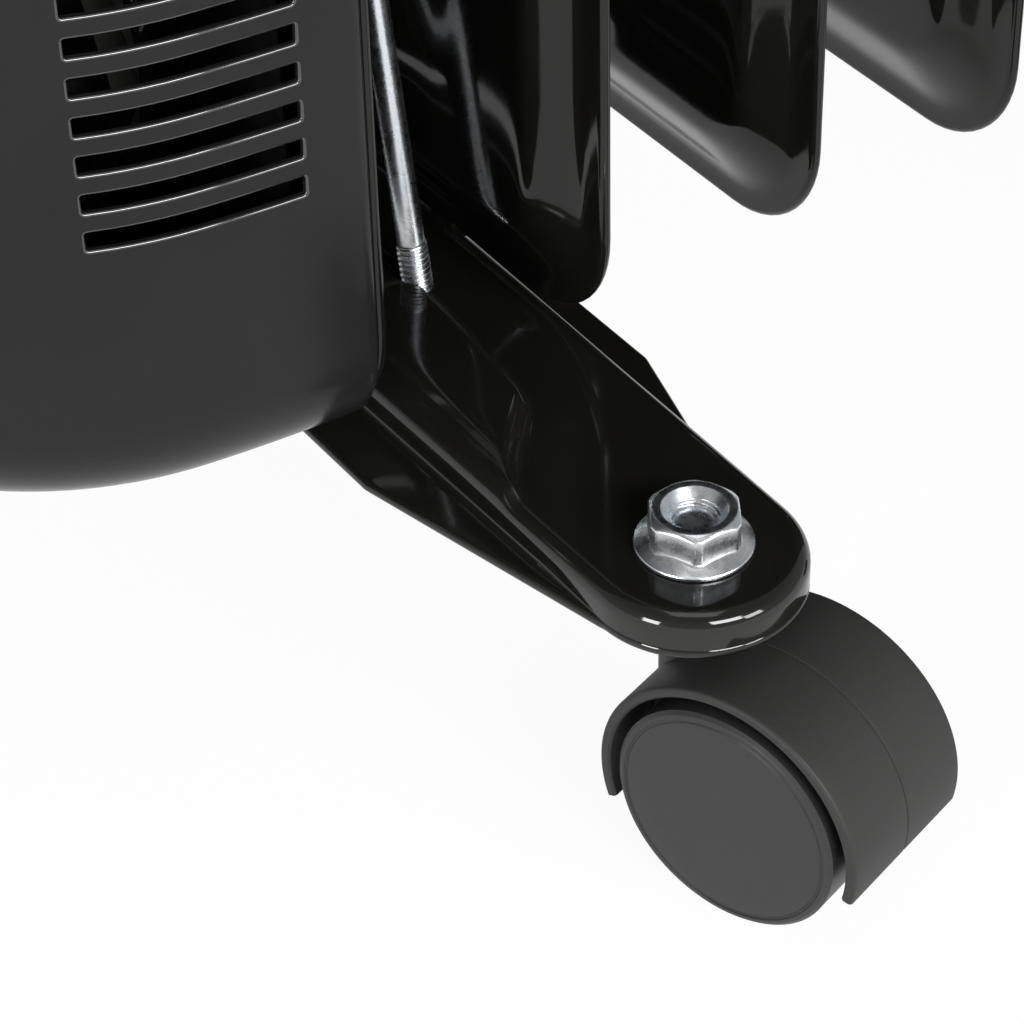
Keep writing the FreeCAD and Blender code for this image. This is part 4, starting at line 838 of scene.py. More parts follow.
# ---- radiator sections ------------------------------------------------------
def inside_gap(x, z, half, low, high, radius):
    """Distance inside a rounded rectangle; negative outside."""
    across = np.abs(x) - (half - radius)
    along = np.abs(z - (low + high) / 2) - ((high - low) / 2 - radius)
    outside = np.hypot(np.maximum(across, 0), np.maximum(along, 0))
    return radius - outside - np.minimum(np.maximum(across, along), 0)


def soft_ramp(t, soft):
    """0 below 0 and 1 above 1, with rounded ends."""
    def knee(v):
        return 0.5 * (v + np.sqrt(v * v + soft * soft))
    return knee(t) - knee(t - 1)


def section_height(x, z, size):
    """Height of a section's face above its middle plane."""
    low, high = SECTION_BOTTOM, SECTION_TOP
    foot = inside_gap(x, z, SECTION_HALF_WIDTH - size.seam, low + size.seam, high - size.seam,
                      size.corner - size.seam)
    crest = inside_gap(x, z, SECTION_HALF_WIDTH - size.crest_side, low + size.crest_end, high - size.crest_end,
                       size.crest_corner)
    slope = np.where(foot <= 0, foot * 120, foot / np.maximum(foot - np.minimum(crest, 0), 1e-9))
    slope = np.where(crest > 0, 1 + crest * 120, slope)
    rise = size.rise * soft_ramp(slope, 0.16)
    for header in (low + size.header, high - size.header):
        away = np.hypot(x, z - header)
        rise += size.boss_rise * soft_ramp((size.boss - away) / (size.boss - size.neck), 0.12)
    ends = soft_ramp((z - low - size.header - GROOVE_START * size.boss) / GROOVE_FADE, 0.5)
    ends = ends * soft_ramp((high - size.header - GROOVE_START * size.boss - z) / GROOVE_FADE, 0.5)
    groove = np.exp(-((np.abs(x) - size.groove_x) / GROOVE_HALF_WIDTH) ** 2)
    rise -= size.groove_depth * groove * ends
    edge = inside_gap(x, z, SECTION_HALF_WIDTH, low, high, size.corner)
    curl = np.clip(1 - edge / size.sheet, 0, 1)
    return size.sheet * np.sqrt(1 - curl * curl) + rise


def section_loop(inset, xs, zs, size):
    """Points round a section at one inset, starting at the lower left."""
    radius = size.corner - inset
    half = SECTION_HALF_WIDTH
    low, high = SECTION_BOTTOM, SECTION_TOP
    cx = half - size.corner
    turns = np.linspace(0, pi / 2, SECTION_CORNER_STEPS + 2)[1:-1]
    points = [(x, low + inset) for x in xs]
    points += [(cx + radius * sin(a), low + size.corner - radius * cos(a)) for a in turns]
    points += [(half - inset, z) for z in zs]
    points += [(cx + radius * cos(a), high - size.corner + radius * sin(a)) for a in turns]
    points += [(x, high - inset) for x in xs[::-1]]
    points += [(-cx - radius * sin(a), high - size.corner + radius * cos(a)) for a in turns]
    points += [(inset - half, z) for z in zs[::-1]]
    points += [(-cx - radius * cos(a), low + size.corner - radius * sin(a)) for a in turns]
    return np.array(points)


def section_skin(size):
    """Both faces of one section about its middle plane."""
    corner = size.corner
    low, high = SECTION_BOTTOM, SECTION_TOP
    cx = SECTION_HALF_WIDTH - corner
    fine = np.arange(-cx, cx + 1e-9, 1.96 * MM)
    near_groove = np.array([side * (size.groove_x + step * MM) for side in (-1, 1)
                            for step in (-5, -3.4, -2.2, -1, 0, 1, 2.2, 3.4, 5)])
    away_from_groove = fine[np.abs(np.abs(fine) - size.groove_x) > 5.5 * MM]
    xs = np.unique(np.round(np.concatenate([away_from_groove, near_groove]), 6))
    header_zone = np.arange(0, 86.1 * MM, 2.0 * MM)
    zs = np.concatenate([low + corner + header_zone,
                         np.linspace(low + corner + 98 * MM, high - corner - 98 * MM, 30),
                         high - corner - header_zone[::-1]])
    insets = np.concatenate([np.array([0, 0.02, 0.1, 0.25, 0.5, 0.8, 1.05, 1.5, 3.0, 4.4, 4.9, 5.4, 5.9, 6.4, 7.2]),
                             np.arange(8.0, 20.1, 0.75)]) * MM
    skin = Skin()
    loops = np.stack([section_loop(inset, xs, zs, size) for inset in (*insets, corner)])
    field_x, field_z = np.meshgrid(xs, zs)
    for side in (-1, 1):
        height = section_height(loops[..., 0], loops[..., 1], size)
        skin.grid(np.stack([loops[..., 0], side * height, loops[..., 1]], -1), wrap=True)
        height = section_height(field_x, field_z, size)
        inner = (field_x ** 2 + (field_z - low - size.header) ** 2 < (size.neck - 3 * MM) ** 2)
        inner |= (field_x ** 2 + (field_z - high + size.header) ** 2 < (size.neck - 3 * MM) ** 2)
        skip = inner[:-1, :-1] & inner[1:, :-1] & inner[:-1, 1:] & inner[1:, 1:]
        skin.grid(np.stack([field_x, side * height, field_z], -1), skip=skip)
    return skin


def add_necks(skin, size, front, rear):
    """Header necks of one section, reaching out from its middle plane."""
    for header in (SECTION_BOTTOM + size.header, SECTION_TOP - size.header):
        for reach, side in ((front, -1), (rear, 1)):
            base = size.sheet + size.rise + size.boss_rise
            profile = [(size.neck + size.neck_fillet * 2, base - 2.2 * MM), (size.neck, base + 0.25 * MM),
                       (size.neck, reach)]
            profile = rounded_profile(profile, [size.neck_fillet], 6)
            profile = np.vstack([profile, [(size.neck - 1 * MM, reach)]])
            skin.grid(moved_points(lathe_points(profile, 72), axis_matrix((0, 0, header), (0, side, 0))), wrap=True)


class RADIATOR_OT_sections(bpy.types.Operator):
    """Presses the oil-filled sections"""
    bl_idname = "radiator.sections"
    bl_label = "Sections"

    def execute(self, context):
        size = settings().section
        plain = section_skin(size)
        for node in SECTIONS:
            low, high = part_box(node)
            half = SECTION_PITCH / 2
            front = high.y - low.y - half if node == SECTIONS[0] else half
            rear = high.y - low.y - half if node == SECTIONS[-1] else half
            skin = plain.placed(Matrix.Identity(4))
            add_necks(skin, size, front, rear)
            skin = skin.placed(Matrix.Translation((0, low.y + front, 0)))
            settle(skin.object(node + "_pressing", SLOTS[node]), node)
        return {"FINISHED"}


# ---- control housing --------------------------------------------------------
def housing_arcs(size):
    """Plan arcs of the right side from the rear: centre, radius and outward directions."""
    x = HOUSING_HIGH.x
    y = HOUSING_HIGH.y
    start = size.side_start
    arcs = []
    for radius, stop in ((size.side_radius, size.side_end), (size.shoulder_radius, size.shoulder_end),
                         (size.corner_radius, size.corner_end)):
        cx = x - radius * cos(start)
        cy = y + radius * sin(start)
        arcs.append((cx, cy, radius, start, stop))
        x = cx + radius * cos(stop)
        y = cy - radius * sin(stop)
        start = stop
    crown = x / cos(start)
    arcs.append((0.0, y + crown * sin(start), crown, start, pi / 2))
    return arcs


def on_arc(arc, turn):
    """Plan point and outward direction on an arc."""
    cx, cy, radius, _, _ = arc
    return cx + radius * cos(turn), cy - radius * sin(turn), cos(turn), -sin(turn)


def side_at(arcs, y):
    """Plan point and outward direction on the right side at one y."""
    for arc in arcs[:3]:
        _, cy, radius, _, stop = arc
        low = cy - radius * sin(stop)
        if y >= low - 1e-9 or arc is arcs[2]:
            return on_arc(arc, asin(max(-1.0, min(1.0, (cy - y) / radius))))


def housing_columns(size):
    """Columns of the right half from the rear edge to the middle of the front, with marks for holes."""
    arcs = housing_arcs(size)
    rear = HOUSING_HIGH.y
    lip = size.louvre_slot / 2 + size.louvre_lip
    near = rear - size.louvre_rear - size.louvre_slot / 2
    far = rear - size.louvre_rear - size.louvre_length + size.louvre_slot / 2
    quarter = np.linspace(0, pi / 2, 6)
    ys = [rear, rear - 0.7 * MM, rear - 2 * MM, rear - 4 * MM, rear - 7 * MM]
    columns = [(side_at(arcs, y), None) for y in ys]
    corner = size.louvre_corner
    tips = [(lip - corner + corner * cos(a), 1 - corner / lip * (1 - sin(a))) for a in quarter]
    columns += [(side_at(arcs, near + reach), ("louvre", half)) for reach, half in tips]
    columns += [(side_at(arcs, y), ("louvre", 1.0)) for y in np.linspace(near, far, 14)[1:-1]]
    columns += [(side_at(arcs, far - reach), ("louvre", half)) for reach, half in tips[::-1]]
    stop = arcs[1][1] - arcs[1][2] * sin(arcs[1][4])
    columns += [(side_at(arcs, y), None) for y in np.linspace(far - lip - 2 * MM, stop, 8)]
    columns += [(on_arc(arcs[2], a), None) for a in np.linspace(arcs[2][3], arcs[2][4], 13)[1:-1]]
    crown = arcs[3]
    half = PANEL_HIGH.x + size.window_gap
    corner = size.window_corner
    columns += [(on_arc(crown, crown[3]), None)]
    columns += [(on_arc(crown, acos((half - corner + corner * cos(a)) / crown[2])), ("window", sin(a)))
                for a in np.linspace(0, pi / 2, 7)]
    columns += [(on_arc(crown, acos(x / crown[2])), ("window", 1.0)) for x in np.linspace(half - corner, 0, 6)[1:]]
    return columns


def housing_rows(size, window_half):
    """Rows from the floor's edge to the top's edge: height, outward share and hole marks."""
    bottom, top, edge = HOUSING_LOW.z, HOUSING_HIGH.z, size.edge
    rows = []
    for a in np.linspace(pi / 2, 0, 13):
        rows.append((bottom + edge - edge * sin(a), a, None))
    first = bottom + size.louvre_first + size.louvre_slot / 2
    lip = size.louvre_slot / 2 + size.louvre_lip
    rows.append((bottom + edge + 1.5 * MM, 0.0, None))
    rows += [(z, 0.0, None) for z in np.linspace(bottom + edge + 8 * MM, first - lip - 4 * MM, 3)]
    for k in range(size.louvres):
        z = first + k * size.louvre_pitch
        rows.append((z - lip, 0.0, ("louvre", z, -lip)))
        rows.append((z + lip, 0.0, ("louvre", z, lip)))
        if k < size.louvres - 1:
            rows.append((z + size.louvre_pitch / 2, 0.0, None))
    middle = (PANEL_LOW.z + PANEL_HIGH.z) / 2
    straight = window_half - size.window_corner
    rows += [(z, 0.0, None) for z in np.linspace(rows[-1][0] + 6 * MM, middle - window_half - 4 * MM, 6)]
    rows.append((middle - window_half, 0.0, ("window", middle, -1)))
    rows += [(z, 0.0, None) for z in np.linspace(middle - straight + 4 * MM, middle + straight - 4 * MM, 5)]
    rows.append((middle + window_half, 0.0, ("window", middle, 1)))
    rows += [(z, 0.0, None) for z in np.linspace(middle + window_half + 4 * MM, top - edge - 8 * MM, 3)]
    rows.append((top - edge - 1.5 * MM, 0.0, None))
    for a in np.linspace(0, pi / 2, 13):
        rows.append((top - edge + edge * sin(a), -a, None))
    return rows


def housing_surface(size):
    """Points and outward directions of the whole outer surface, and which quads are holes."""
    right = housing_columns(size)
    left = [((-x, y, -nx, ny), mark) for (x, y, nx, ny), mark in right[-2::-1]]
    columns = right + left
    window_half = WINDOW_HALF_HEIGHT + size.window_gap
    rows = housing_rows(size, window_half)
    points = np.zeros((len(columns), len(rows), 3))
    normals = np.zeros_like(points)
    for i, ((x, y, nx, ny), mark) in enumerate(columns):
        for j, (z, turn, hole) in enumerate(rows):
            if hole and mark and hole[0] == mark[0] == "louvre":
                z = hole[1] + hole[2] * mark[1]
            if hole and mark and hole[0] == mark[0] == "window":
                straight = window_half - size.window_corner
                z = hole[1] + hole[2] * (straight + size.window_corner * mark[1])
            inset = size.edge * (1 - cos(turn))
            points[i, j] = (x - nx * inset, y - ny * inset, z)
            normals[i, j] = (nx * cos(turn), ny * cos(turn), -sin(turn))
    skip = np.zeros((len(columns) - 1, len(rows) - 1), bool)
    for i in range(len(columns) - 1):
        one, two = columns[i][1], columns[i + 1][1]
        if not (one and two and one[0] == two[0]):
            continue
        inside = False
        for j in range(len(rows) - 1):
            hole = rows[j][2]
            if hole and hole[0] == one[0]:
                inside = hole[2] < 0
            skip[i, j] = inside
    return points, normals, skip


def hole_loops(skip):
    """Closed index loops round each hole of a grid."""
    edges = {}
    rows, columns = skip.shape
    for i in range(rows):
        for j in range(columns):
            if not skip[i, j]:
                continue
            sides = (((i, j), (i + 1, j), i, j - 1), ((i + 1, j), (i + 1, j + 1), i + 1, j),
                     ((i + 1, j + 1), (i, j + 1), i, j + 1), ((i, j + 1), (i, j), i - 1, j))
            for a, b, ni, nj in sides:
                if not (0 <= ni < rows and 0 <= nj < columns and skip[ni, nj]):
                    edges[a] = b
    loops = []
    while edges:
        start, here = edges.popitem()
        loop = [start]
        while here != start:
            loop.append(here)
            here = edges.pop(here)
        loops.append(loop)
    return loops


def hole_walls(skin, points, normals, loops, wall, lip):
    """Rounded lips and inner walls round the holes, from the outer to the inner surface."""
    for loop in loops:
        ring = np.array([points[i, j] for i, j in loop])
        out = np.array([normals[i, j] for i, j in loop])
        ahead = np.roll(ring, -1, 0) - np.roll(ring, 1, 0)
        side = np.cross(out, ahead)
        size = np.linalg.norm(side, axis=1, keepdims=True)
        side = side / np.maximum(size, 1e-12)
        centre = ring.mean(0)
        if np.sum((centre - ring) * side) < 0:
            side = -side
        turns = np.linspace(0, pi / 2, 5)
        levels = [ring + side * lip * sin(a) - out * lip * (1 - cos(a)) for a in turns]
        levels.append(ring + side * lip - out * (wall - 0.15 * MM))
        levels.append(ring - out * wall)
        skin.grid(np.stack(levels), wrap=True)


def flat_cap(skin, points, row):
    """Closes the floor or the top between the two halves of a surface."""
    edge = points[:, row]
    half = (len(edge) + 1) // 2
    right = edge[:half]
    left = edge[::-1][:half]
    skin.grid(np.stack([right, left], 1))


class RADIATOR_OT_housing(bpy.types.Operator):
    """Forms the louvred control housing"""
    bl_idname = "radiator.housing"
    bl_label = "Control housing"

    def execute(self, context):
        size = settings().housing
        points, normals, skip = housing_surface(size)
        inner = points - normals * size.wall
        skin = Skin()
        lip = size.rear_lip
        outer = points.copy()
        outer[0] -= normals[0] * lip
        outer[-1] -= normals[-1] * lip
        skin.grid(outer, skip=skip)
        skin.grid(inner, skip=skip)
        first = len(skin.faces)
        hole_walls(skin, points, normals, hole_loops(skip), size.wall, size.louvre_lip)
        trim = ("housing_lip", first, len(skin.faces))
        for row in (0, -1):
            flat_cap(skin, outer, row)
            flat_cap(skin, inner, row)
        rim_out = np.concatenate([outer[0], outer[-1][::-1]])
        rim_in = np.concatenate([inner[0], inner[-1][::-1]])
        skin.grid(np.stack([rim_out, rim_in]), wrap=True)
        settle(skin.object("control_housing", SLOTS["control_box_shell"], sharp=50, trim=trim), "control_box_shell")
        return {"FINISHED"}


# ---- feet -------------------------------------------------------------------
def brim_width(x, side, size):
    """Width of the brim at one place along the foot, in front (-1) or behind (1)."""
    reach = size.brim_front if side < 0 else size.brim_rear
    slope = size.brim_front_slope if side < 0 else size.brim_rear_slope
    edge = reach - np.maximum(np.abs(x) - size.brim_straight, 0) * slope
    skirt = size.middle + (size.end - size.middle) * np.abs(x) / STEM_X
    return np.maximum(edge - skirt, 0)


def pad_height(x, y, size):
    """Height of the stiffening pads above the plate."""
    x = np.abs(x)
    ahead = -y / MM
    crest = size.pad_crest - size.pad_slant * (x - size.pad_inner)
    back = soft_ramp((crest + PAD_BACK - y) / PAD_BACK, 0.3)
    front = soft_ramp((y + size.middle - PAD_MARGIN) / PAD_FRONT, 0.4)
    curl = PAD_CURL * np.maximum(0, ahead - PAD_CURL_START) ** 2
    foot_of_ramp = size.pad_outer + (PAD_SWEEP * ahead + curl) * MM
    ramp = soft_ramp((foot_of_ramp - x) / size.pad_run, 0.16)
    inner = soft_ramp((x - size.pad_inner) / PAD_LEAD, 0.4)
    return size.pad_rise * back * front * ramp * inner


def foot_skin(size):
    """The foot about its own centre, at its own height."""
    top = FOOT_TOP
    bottom = FOOT_LOW.z
    edge = size.edge
    flat_end, flat_mid = size.end - edge, size.middle - edge
    spread = np.concatenate([np.linspace(-1, -0.86, 6), np.linspace(-0.84, 0.84, 62), np.linspace(0.86, 1, 6)])
    xs = np.concatenate([np.linspace(0, 34, 12), np.linspace(36, 64, 15), np.linspace(64.5, 101, 72),
                         np.linspace(102, STEM_X / MM, 8)]) * MM
    half = flat_mid + (flat_end - flat_mid) * xs / STEM_X
    around = np.linspace(-pi / 2, pi / 2, 49)
    skin = Skin()
    for side in (-1, 1):
        grid_x = np.repeat(xs[:, None], len(spread), 1)
        grid_y = half[:, None] * spread[None]
        height = top + pad_height(grid_x, grid_y, size)
        skin.grid(np.stack([side * grid_x, grid_y, height], -1))
        radii = flat_end * np.array([1.0, 0.985, 0.96, 0.9, 0.8, 0.65, 0.5, 0.3, 0.0])
        ring = np.stack([STEM_X + radii[:, None] * np.cos(around)[None], radii[:, None] * np.sin(around)[None]], -1)
        cap = np.concatenate([ring, np.full(ring.shape[:2] + (1,), top)], -1)
        cap[..., 0] *= side
        skin.grid(cap)
    # edge: runs along the front, round the right end, back along the rear and round the left end
    front_x = np.concatenate([-xs[::-1], xs[1:]])
    base = [(x, -1, None) for x in front_x] + [(STEM_X, 0, a) for a in around[1:-1]]
    base += [(x, 1, None) for x in front_x[::-1]] + [(-STEM_X, 0, pi - a) for a in around[::-1][1:-1]]
    path = []
    for x, side, a in base:
        if a is None:
            width = flat_mid + (flat_end - flat_mid) * abs(x) / STEM_X
            lean = (flat_mid - flat_end) / STEM_X * np.sign(x)
            out = np.array([lean, side, 0.0])
            out /= np.linalg.norm(out)
            path.append((x, side * width, out[0], out[1], float(brim_width(x, side, size))))
        else:
            path.append((x + flat_end * cos(a), flat_end * sin(a), cos(a), sin(a), 0.0))
    path = np.array(path)
    place = path[:, :2]
    out = path[:, 2:4]
    brim = path[:, 4]
    sheet = size.sheet
    fillet = np.minimum(size.brim_fillet, brim * 0.45)
    rows = []

    def row(offset, z):
        offset = np.broadcast_to(offset, brim.shape)
        z = np.broadcast_to(z, brim.shape)
        rows.append(np.concatenate([place + out * offset[:, None], z[:, None]], 1))

    lift = pad_height(place[:, 0], place[:, 1], size)
    for a in np.linspace(0, pi / 2, 9):
        row(edge * sin(a), top - edge * (1 - cos(a)) + lift * (1 - sin(a)))
    row(edge, bottom + sheet + fillet + 0.3 * MM)
    for a in np.linspace(0, pi / 2, 6):
        row(edge + fillet * (1 - cos(a)), bottom + sheet + fillet * (1 - sin(a)))
    for a in np.linspace(0, pi, 9):
        row(edge + brim - 0.9 * MM * (1 - sin(a)), bottom + sheet / 2 + sheet / 2 * cos(a))
    wall = edge - sheet
    row(wall, bottom)
    row(wall, top - sheet - 1.2 * MM)
    row(wall - 1.2 * MM, top - sheet)
    skin.grid(np.stack(rows), wrap=True)
    ceiling = rows[-1]
    count_front = len(front_x)
    count_end = len(around) - 2
    front = ceiling[:count_front]
    rear = ceiling[count_front + count_end:2 * count_front + count_end][::-1]
    skin.grid(np.stack([front, rear], 1))
    for start, last in ((count_front - 1, count_front + count_end), (2 * count_front + count_end - 1, 0)):
        arc = list(range(start, start + count_end + 1)) + [last]
        skin.cap([ceiling[k % len(ceiling)] for k in arc])
    add_saddle(skin, size, top)
    return skin


def add_saddle(skin, size, top):
    """A low saddle that carries a section."""
    rise = size.saddle_rise + SADDLE_SKIRT
    points = []
    for t in np.linspace(-1, 1, 15):
        fade = min(1.0, (1 - abs(t)) * 8)
        points.append([(t * size.saddle_half, SADDLE_Y + across,
                        top - SADDLE_SKIRT + rise * max(lift, -0.2) * fade)
                       for across, lift in zip(SADDLE_ACROSS, SADDLE_LIFT)])
    skin.grid(points)


class RADIATOR_OT_feet(bpy.types.Operator):
    """Presses the two feet"""
    bl_idname = "radiator.feet"
    bl_label = "Feet"

    def execute(self, context):
        size = settings().foot
        plain = foot_skin(size)
        for node, y in (("front_foot", FRONT_Y), ("rear_foot", REAR_Y)):
            skin = plain.placed(Matrix.Translation((0, y, 0)))
            # the feet take the brighter painted-light copy of the sections' enamel, not their slot's own finish
            settle(skin.object(node + "_pressing", "foot_enamel", sharp=60), node)
        return {"FINISHED"}


# ---- U-bolts and nuts -------------------------------------------------------
def leg_lean(bolt, section):
    """Lean of a U-bolt leg from the vertical."""
    rise = SECTION_BOTTOM + section.header - FOOT_TOP
    bend = section.neck + bolt.gap + bolt.rod
    return atan2(bolt.leg_x, rise) - asin(bend / hypot(bolt.leg_x, rise))


def leg_point(height, bolt, section):
    """Centre of the right leg at a height above the plate."""
    return Vector((bolt.leg_x - height * tan(leg_lean(bolt, section)), bolt.leg_y, FOOT_TOP + height))


def u_bolt_skin(bolt, section):
    """Rod of a U-bolt about the foot's centre."""
    lean = leg_lean(bolt, section)
    header = SECTION_BOTTOM + section.header
    bend = section.neck + bolt.gap + bolt.rod
    start = leg_point(bolt.above - 0.6 * MM, bolt, section)
    centres = []
    touch = Vector((bend * cos(lean), bolt.leg_y, header + bend * sin(lean)))
    for t in np.linspace(0, 1, 12, endpoint=False):
        point = start.lerp(touch, t)
        centres.append((point.x, point.z, cos(lean), sin(lean)))
    for a in np.linspace(lean, pi - lean, 49):
        centres.append((bend * cos(a), header + bend * sin(a), cos(a), sin(a)))
    centres += [(-x, z, -nx, nz) for x, z, nx, nz in centres[11::-1]]
    around = np.linspace(0, 2 * pi, 28, endpoint=False)
    rows = [[(x + bolt.rod * cos(a) * nx, bolt.leg_y + bolt.rod * sin(a), z + bolt.rod * cos(a) * nz)
             for a in around] for x, z, nx, nz in centres]
    return wrapped(rows)


def leg_matrix(start, bolt, section, side):
    """Places a Z-axis form on a leg, at a height above the plate, pointing up the leg."""
    lean = leg_lean(bolt, section)
    point = leg_point(start, bolt, section)
    turn = Matrix.Rotation(-lean * side, 4, "Y")
    return Matrix.Translation((point.x * side, point.y, point.z)) @ turn


class RADIATOR_OT_u_bolts(bpy.types.Operator):
    """Bends the U-bolts and rolls their threads"""
    bl_idname = "radiator.u_bolts"
    bl_label = "U-bolts"

    def execute(self, context):
        bolt = settings().bolt
        section = settings().section
        slot = SLOTS["front_u_bolt"]
        for node, y in (("front_u_bolt", FRONT_Y), ("rear_u_bolt", REAR_Y)):
            place = Matrix.Translation((0, y, 0))
            long = (bolt.above + bolt.tail) / cos(leg_lean(bolt, section))
            parts = [u_bolt_skin(bolt, section).placed(place).object(node + "_rod", slot)]
            for side in (-1, 1):
                leg = thread(node + "_thread", bolt.thread, bolt.depth, bolt.pitch, long, 0.9 * MM, slot)
                leg.data.transform(place @ leg_matrix(-bolt.tail, bolt, section, side))
                parts.append(leg)
            settle(joined(parts, node + "_rolled"), node)
        return {"FINISHED"}


def hex_radius(turn, flats, soft):
    """Radius of a hexagon in one direction, with a corner at zero."""
    inside = (turn + pi / 6) % (pi / 3) - pi / 6
    return flats / 2 / np.cos(pi / 6 - np.abs(inside)) - soft * np.exp(-(inside / 0.055) ** 2)


def flange_nut_skin(bolt):
    """Hexagon flange nut standing on the origin, a corner along X."""
    around = np.linspace(0, 2 * pi, 180, endpoint=False)
    high = NUT_HIGH.z - NUT_LOW.z
    radius = hex_radius(around, bolt.flats, bolt.corner)
    top = bolt.flats / 2 * 0.94
    chamfer = high - 0.12 * MM - (radius - top) * tan(radians(30))
    rim, rise = bolt.flange_rim, bolt.flange_rise
    fall = (rise - rim) / (bolt.flange - bolt.flats / 2)
    meet = rim + (bolt.flange - radius) * fall
    ring = np.stack([np.cos(around), np.sin(around)], -1)
    rows = []

    def row(size, z):
        size = np.broadcast_to(size, around.shape)
        z = np.broadcast_to(z, around.shape)
        rows.append(np.concatenate([ring * size[:, None], z[:, None]], 1))

    row(bolt.bore, 0.0)
    row(bolt.flange - 0.3 * MM, 0.0)
    row(bolt.flange, 0.25 * MM)
    row(bolt.flange, rim - 0.25 * MM)
    row(bolt.flange - 0.12 * MM, rim - 0.06 * MM)
    row(bolt.flange - 0.35 * MM, rim + 0.08 * MM)
    row(radius + 1.0 * MM, meet - 1.0 * MM * fall)
    for share_in, share_up in ((0.42, -0.12), (0.2, 0.02), (0.06, 0.2), (0.0, 0.5)):
        row(radius + share_in * MM, meet + share_up * MM)
    row(radius, meet * 0.5 + chamfer * 0.5)
    for share_in, share_up in ((0.0, -0.34), (0.03, -0.16), (0.11, 0.0), (0.24, 0.12)):
        row(np.maximum(radius - share_in * MM, top + 0.2 * MM), chamfer + share_up * MM)
    row(top + 0.14 * MM, high - 0.17 * MM)
    row(top + 0.02 * MM, high - 0.09 * MM)
    row(top - 0.14 * MM, high - 0.03 * MM)
    row(top - 0.36 * MM, high)
    row(bolt.mouth + 0.2 * MM, high)
    row(bolt.mouth + 0.05 * MM, high - 0.04 * MM)
    row(bolt.mouth - 0.06 * MM, high - 0.14 * MM)
    row(bolt.bore - 0.1 * MM, high - 1.3 * MM)
    row(bolt.bore + 0.05 * MM, high - 1.5 * MM)
    return wrapped(rows)


class RADIATOR_OT_caster_nuts(bpy.types.Operator):
    """Puts a flange nut on each caster stem"""
    bl_idname = "radiator.caster_nuts"
    bl_label = "Caster nuts"

    def execute(self, context):
        bolt = settings().bolt
        slot = SLOTS["caster_nuts"]
        nut = flange_nut_skin(bolt).object("flange_nut", slot, sharp=22)
        high = NUT_HIGH.z - NUT_LOW.z
        bore = thread("nut_thread", bolt.bore + 0.1 * MM, 0.62 * MM, bolt.stem_pitch, high - 1.3 * MM,
                      0.2 * MM, slot)
        bore.data.flip_normals()
        nut = joined([nut, bore], "flange_nut_threaded")
        turns = {(1, FRONT_Y): bolt.nut_turn, **NUT_TURNS}
        places = [Matrix.Translation((side * STEM_X, y, FOOT_TOP)) @ Matrix.Rotation(turn, 4, "Z")
                  for (side, y), turn in turns.items()]
        settle(repeated(nut, places, "caster_flange_nuts", slot), "caster_nuts")
        return {"FINISHED"}


def stem_skin(bolt, sheet):
    """Stem about its own axis: journal, collar and a sheared end with a worn chamfer."""
    ceiling = FOOT_TOP - sheet
    collar = ceiling - bolt.stem_collar_high
    end = STEM_HIGH.z
    thread_r = bolt.bore - 0.05 * MM
    profile = [(0.0, STEM_LOW.z), (bolt.stem_neck, STEM_LOW.z), (bolt.stem_neck, collar),
               (bolt.stem_collar, collar), (bolt.stem_collar, ceiling), (thread_r, ceiling),
               (thread_r, end - 1.15 * MM),
               (3.3 * MM, end - 0.32 * MM), (3.0 * MM, end - 0.08 * MM), (2.3 * MM, end - 0.01 * MM),
               (1.4 * MM, end - 0.05 * MM), (0.0, end - 0.07 * MM)]
    radii = [0.4 * MM, 0.1 * MM, 0.1 * MM, 0.2 * MM, 0.0, 0.2 * MM, 0.1 * MM, 0.1 * MM, 0.0, 0.0]
    return wrapped(lathe_points(rounded_profile(profile, radii, 3), 48))


class RADIATOR_OT_caster_stems(bpy.types.Operator):
    """Turns the four caster stems"""
    bl_idname = "radiator.caster_stems"
    bl_label = "Caster stems"

    def execute(self, context):
        slot = SLOTS["caster_stems"]
        stem = stem_skin(settings().bolt, settings().foot.sheet).object("caster_stem", slot, sharp=40)
        places = [Matrix.Translation((side * STEM_X, y, 0)) for side in (-1, 1) for y in (FRONT_Y, REAR_Y)]
        settle(repeated(stem, places, "caster_stem_bars", slot), "caster_stems")
        return {"FINISHED"}


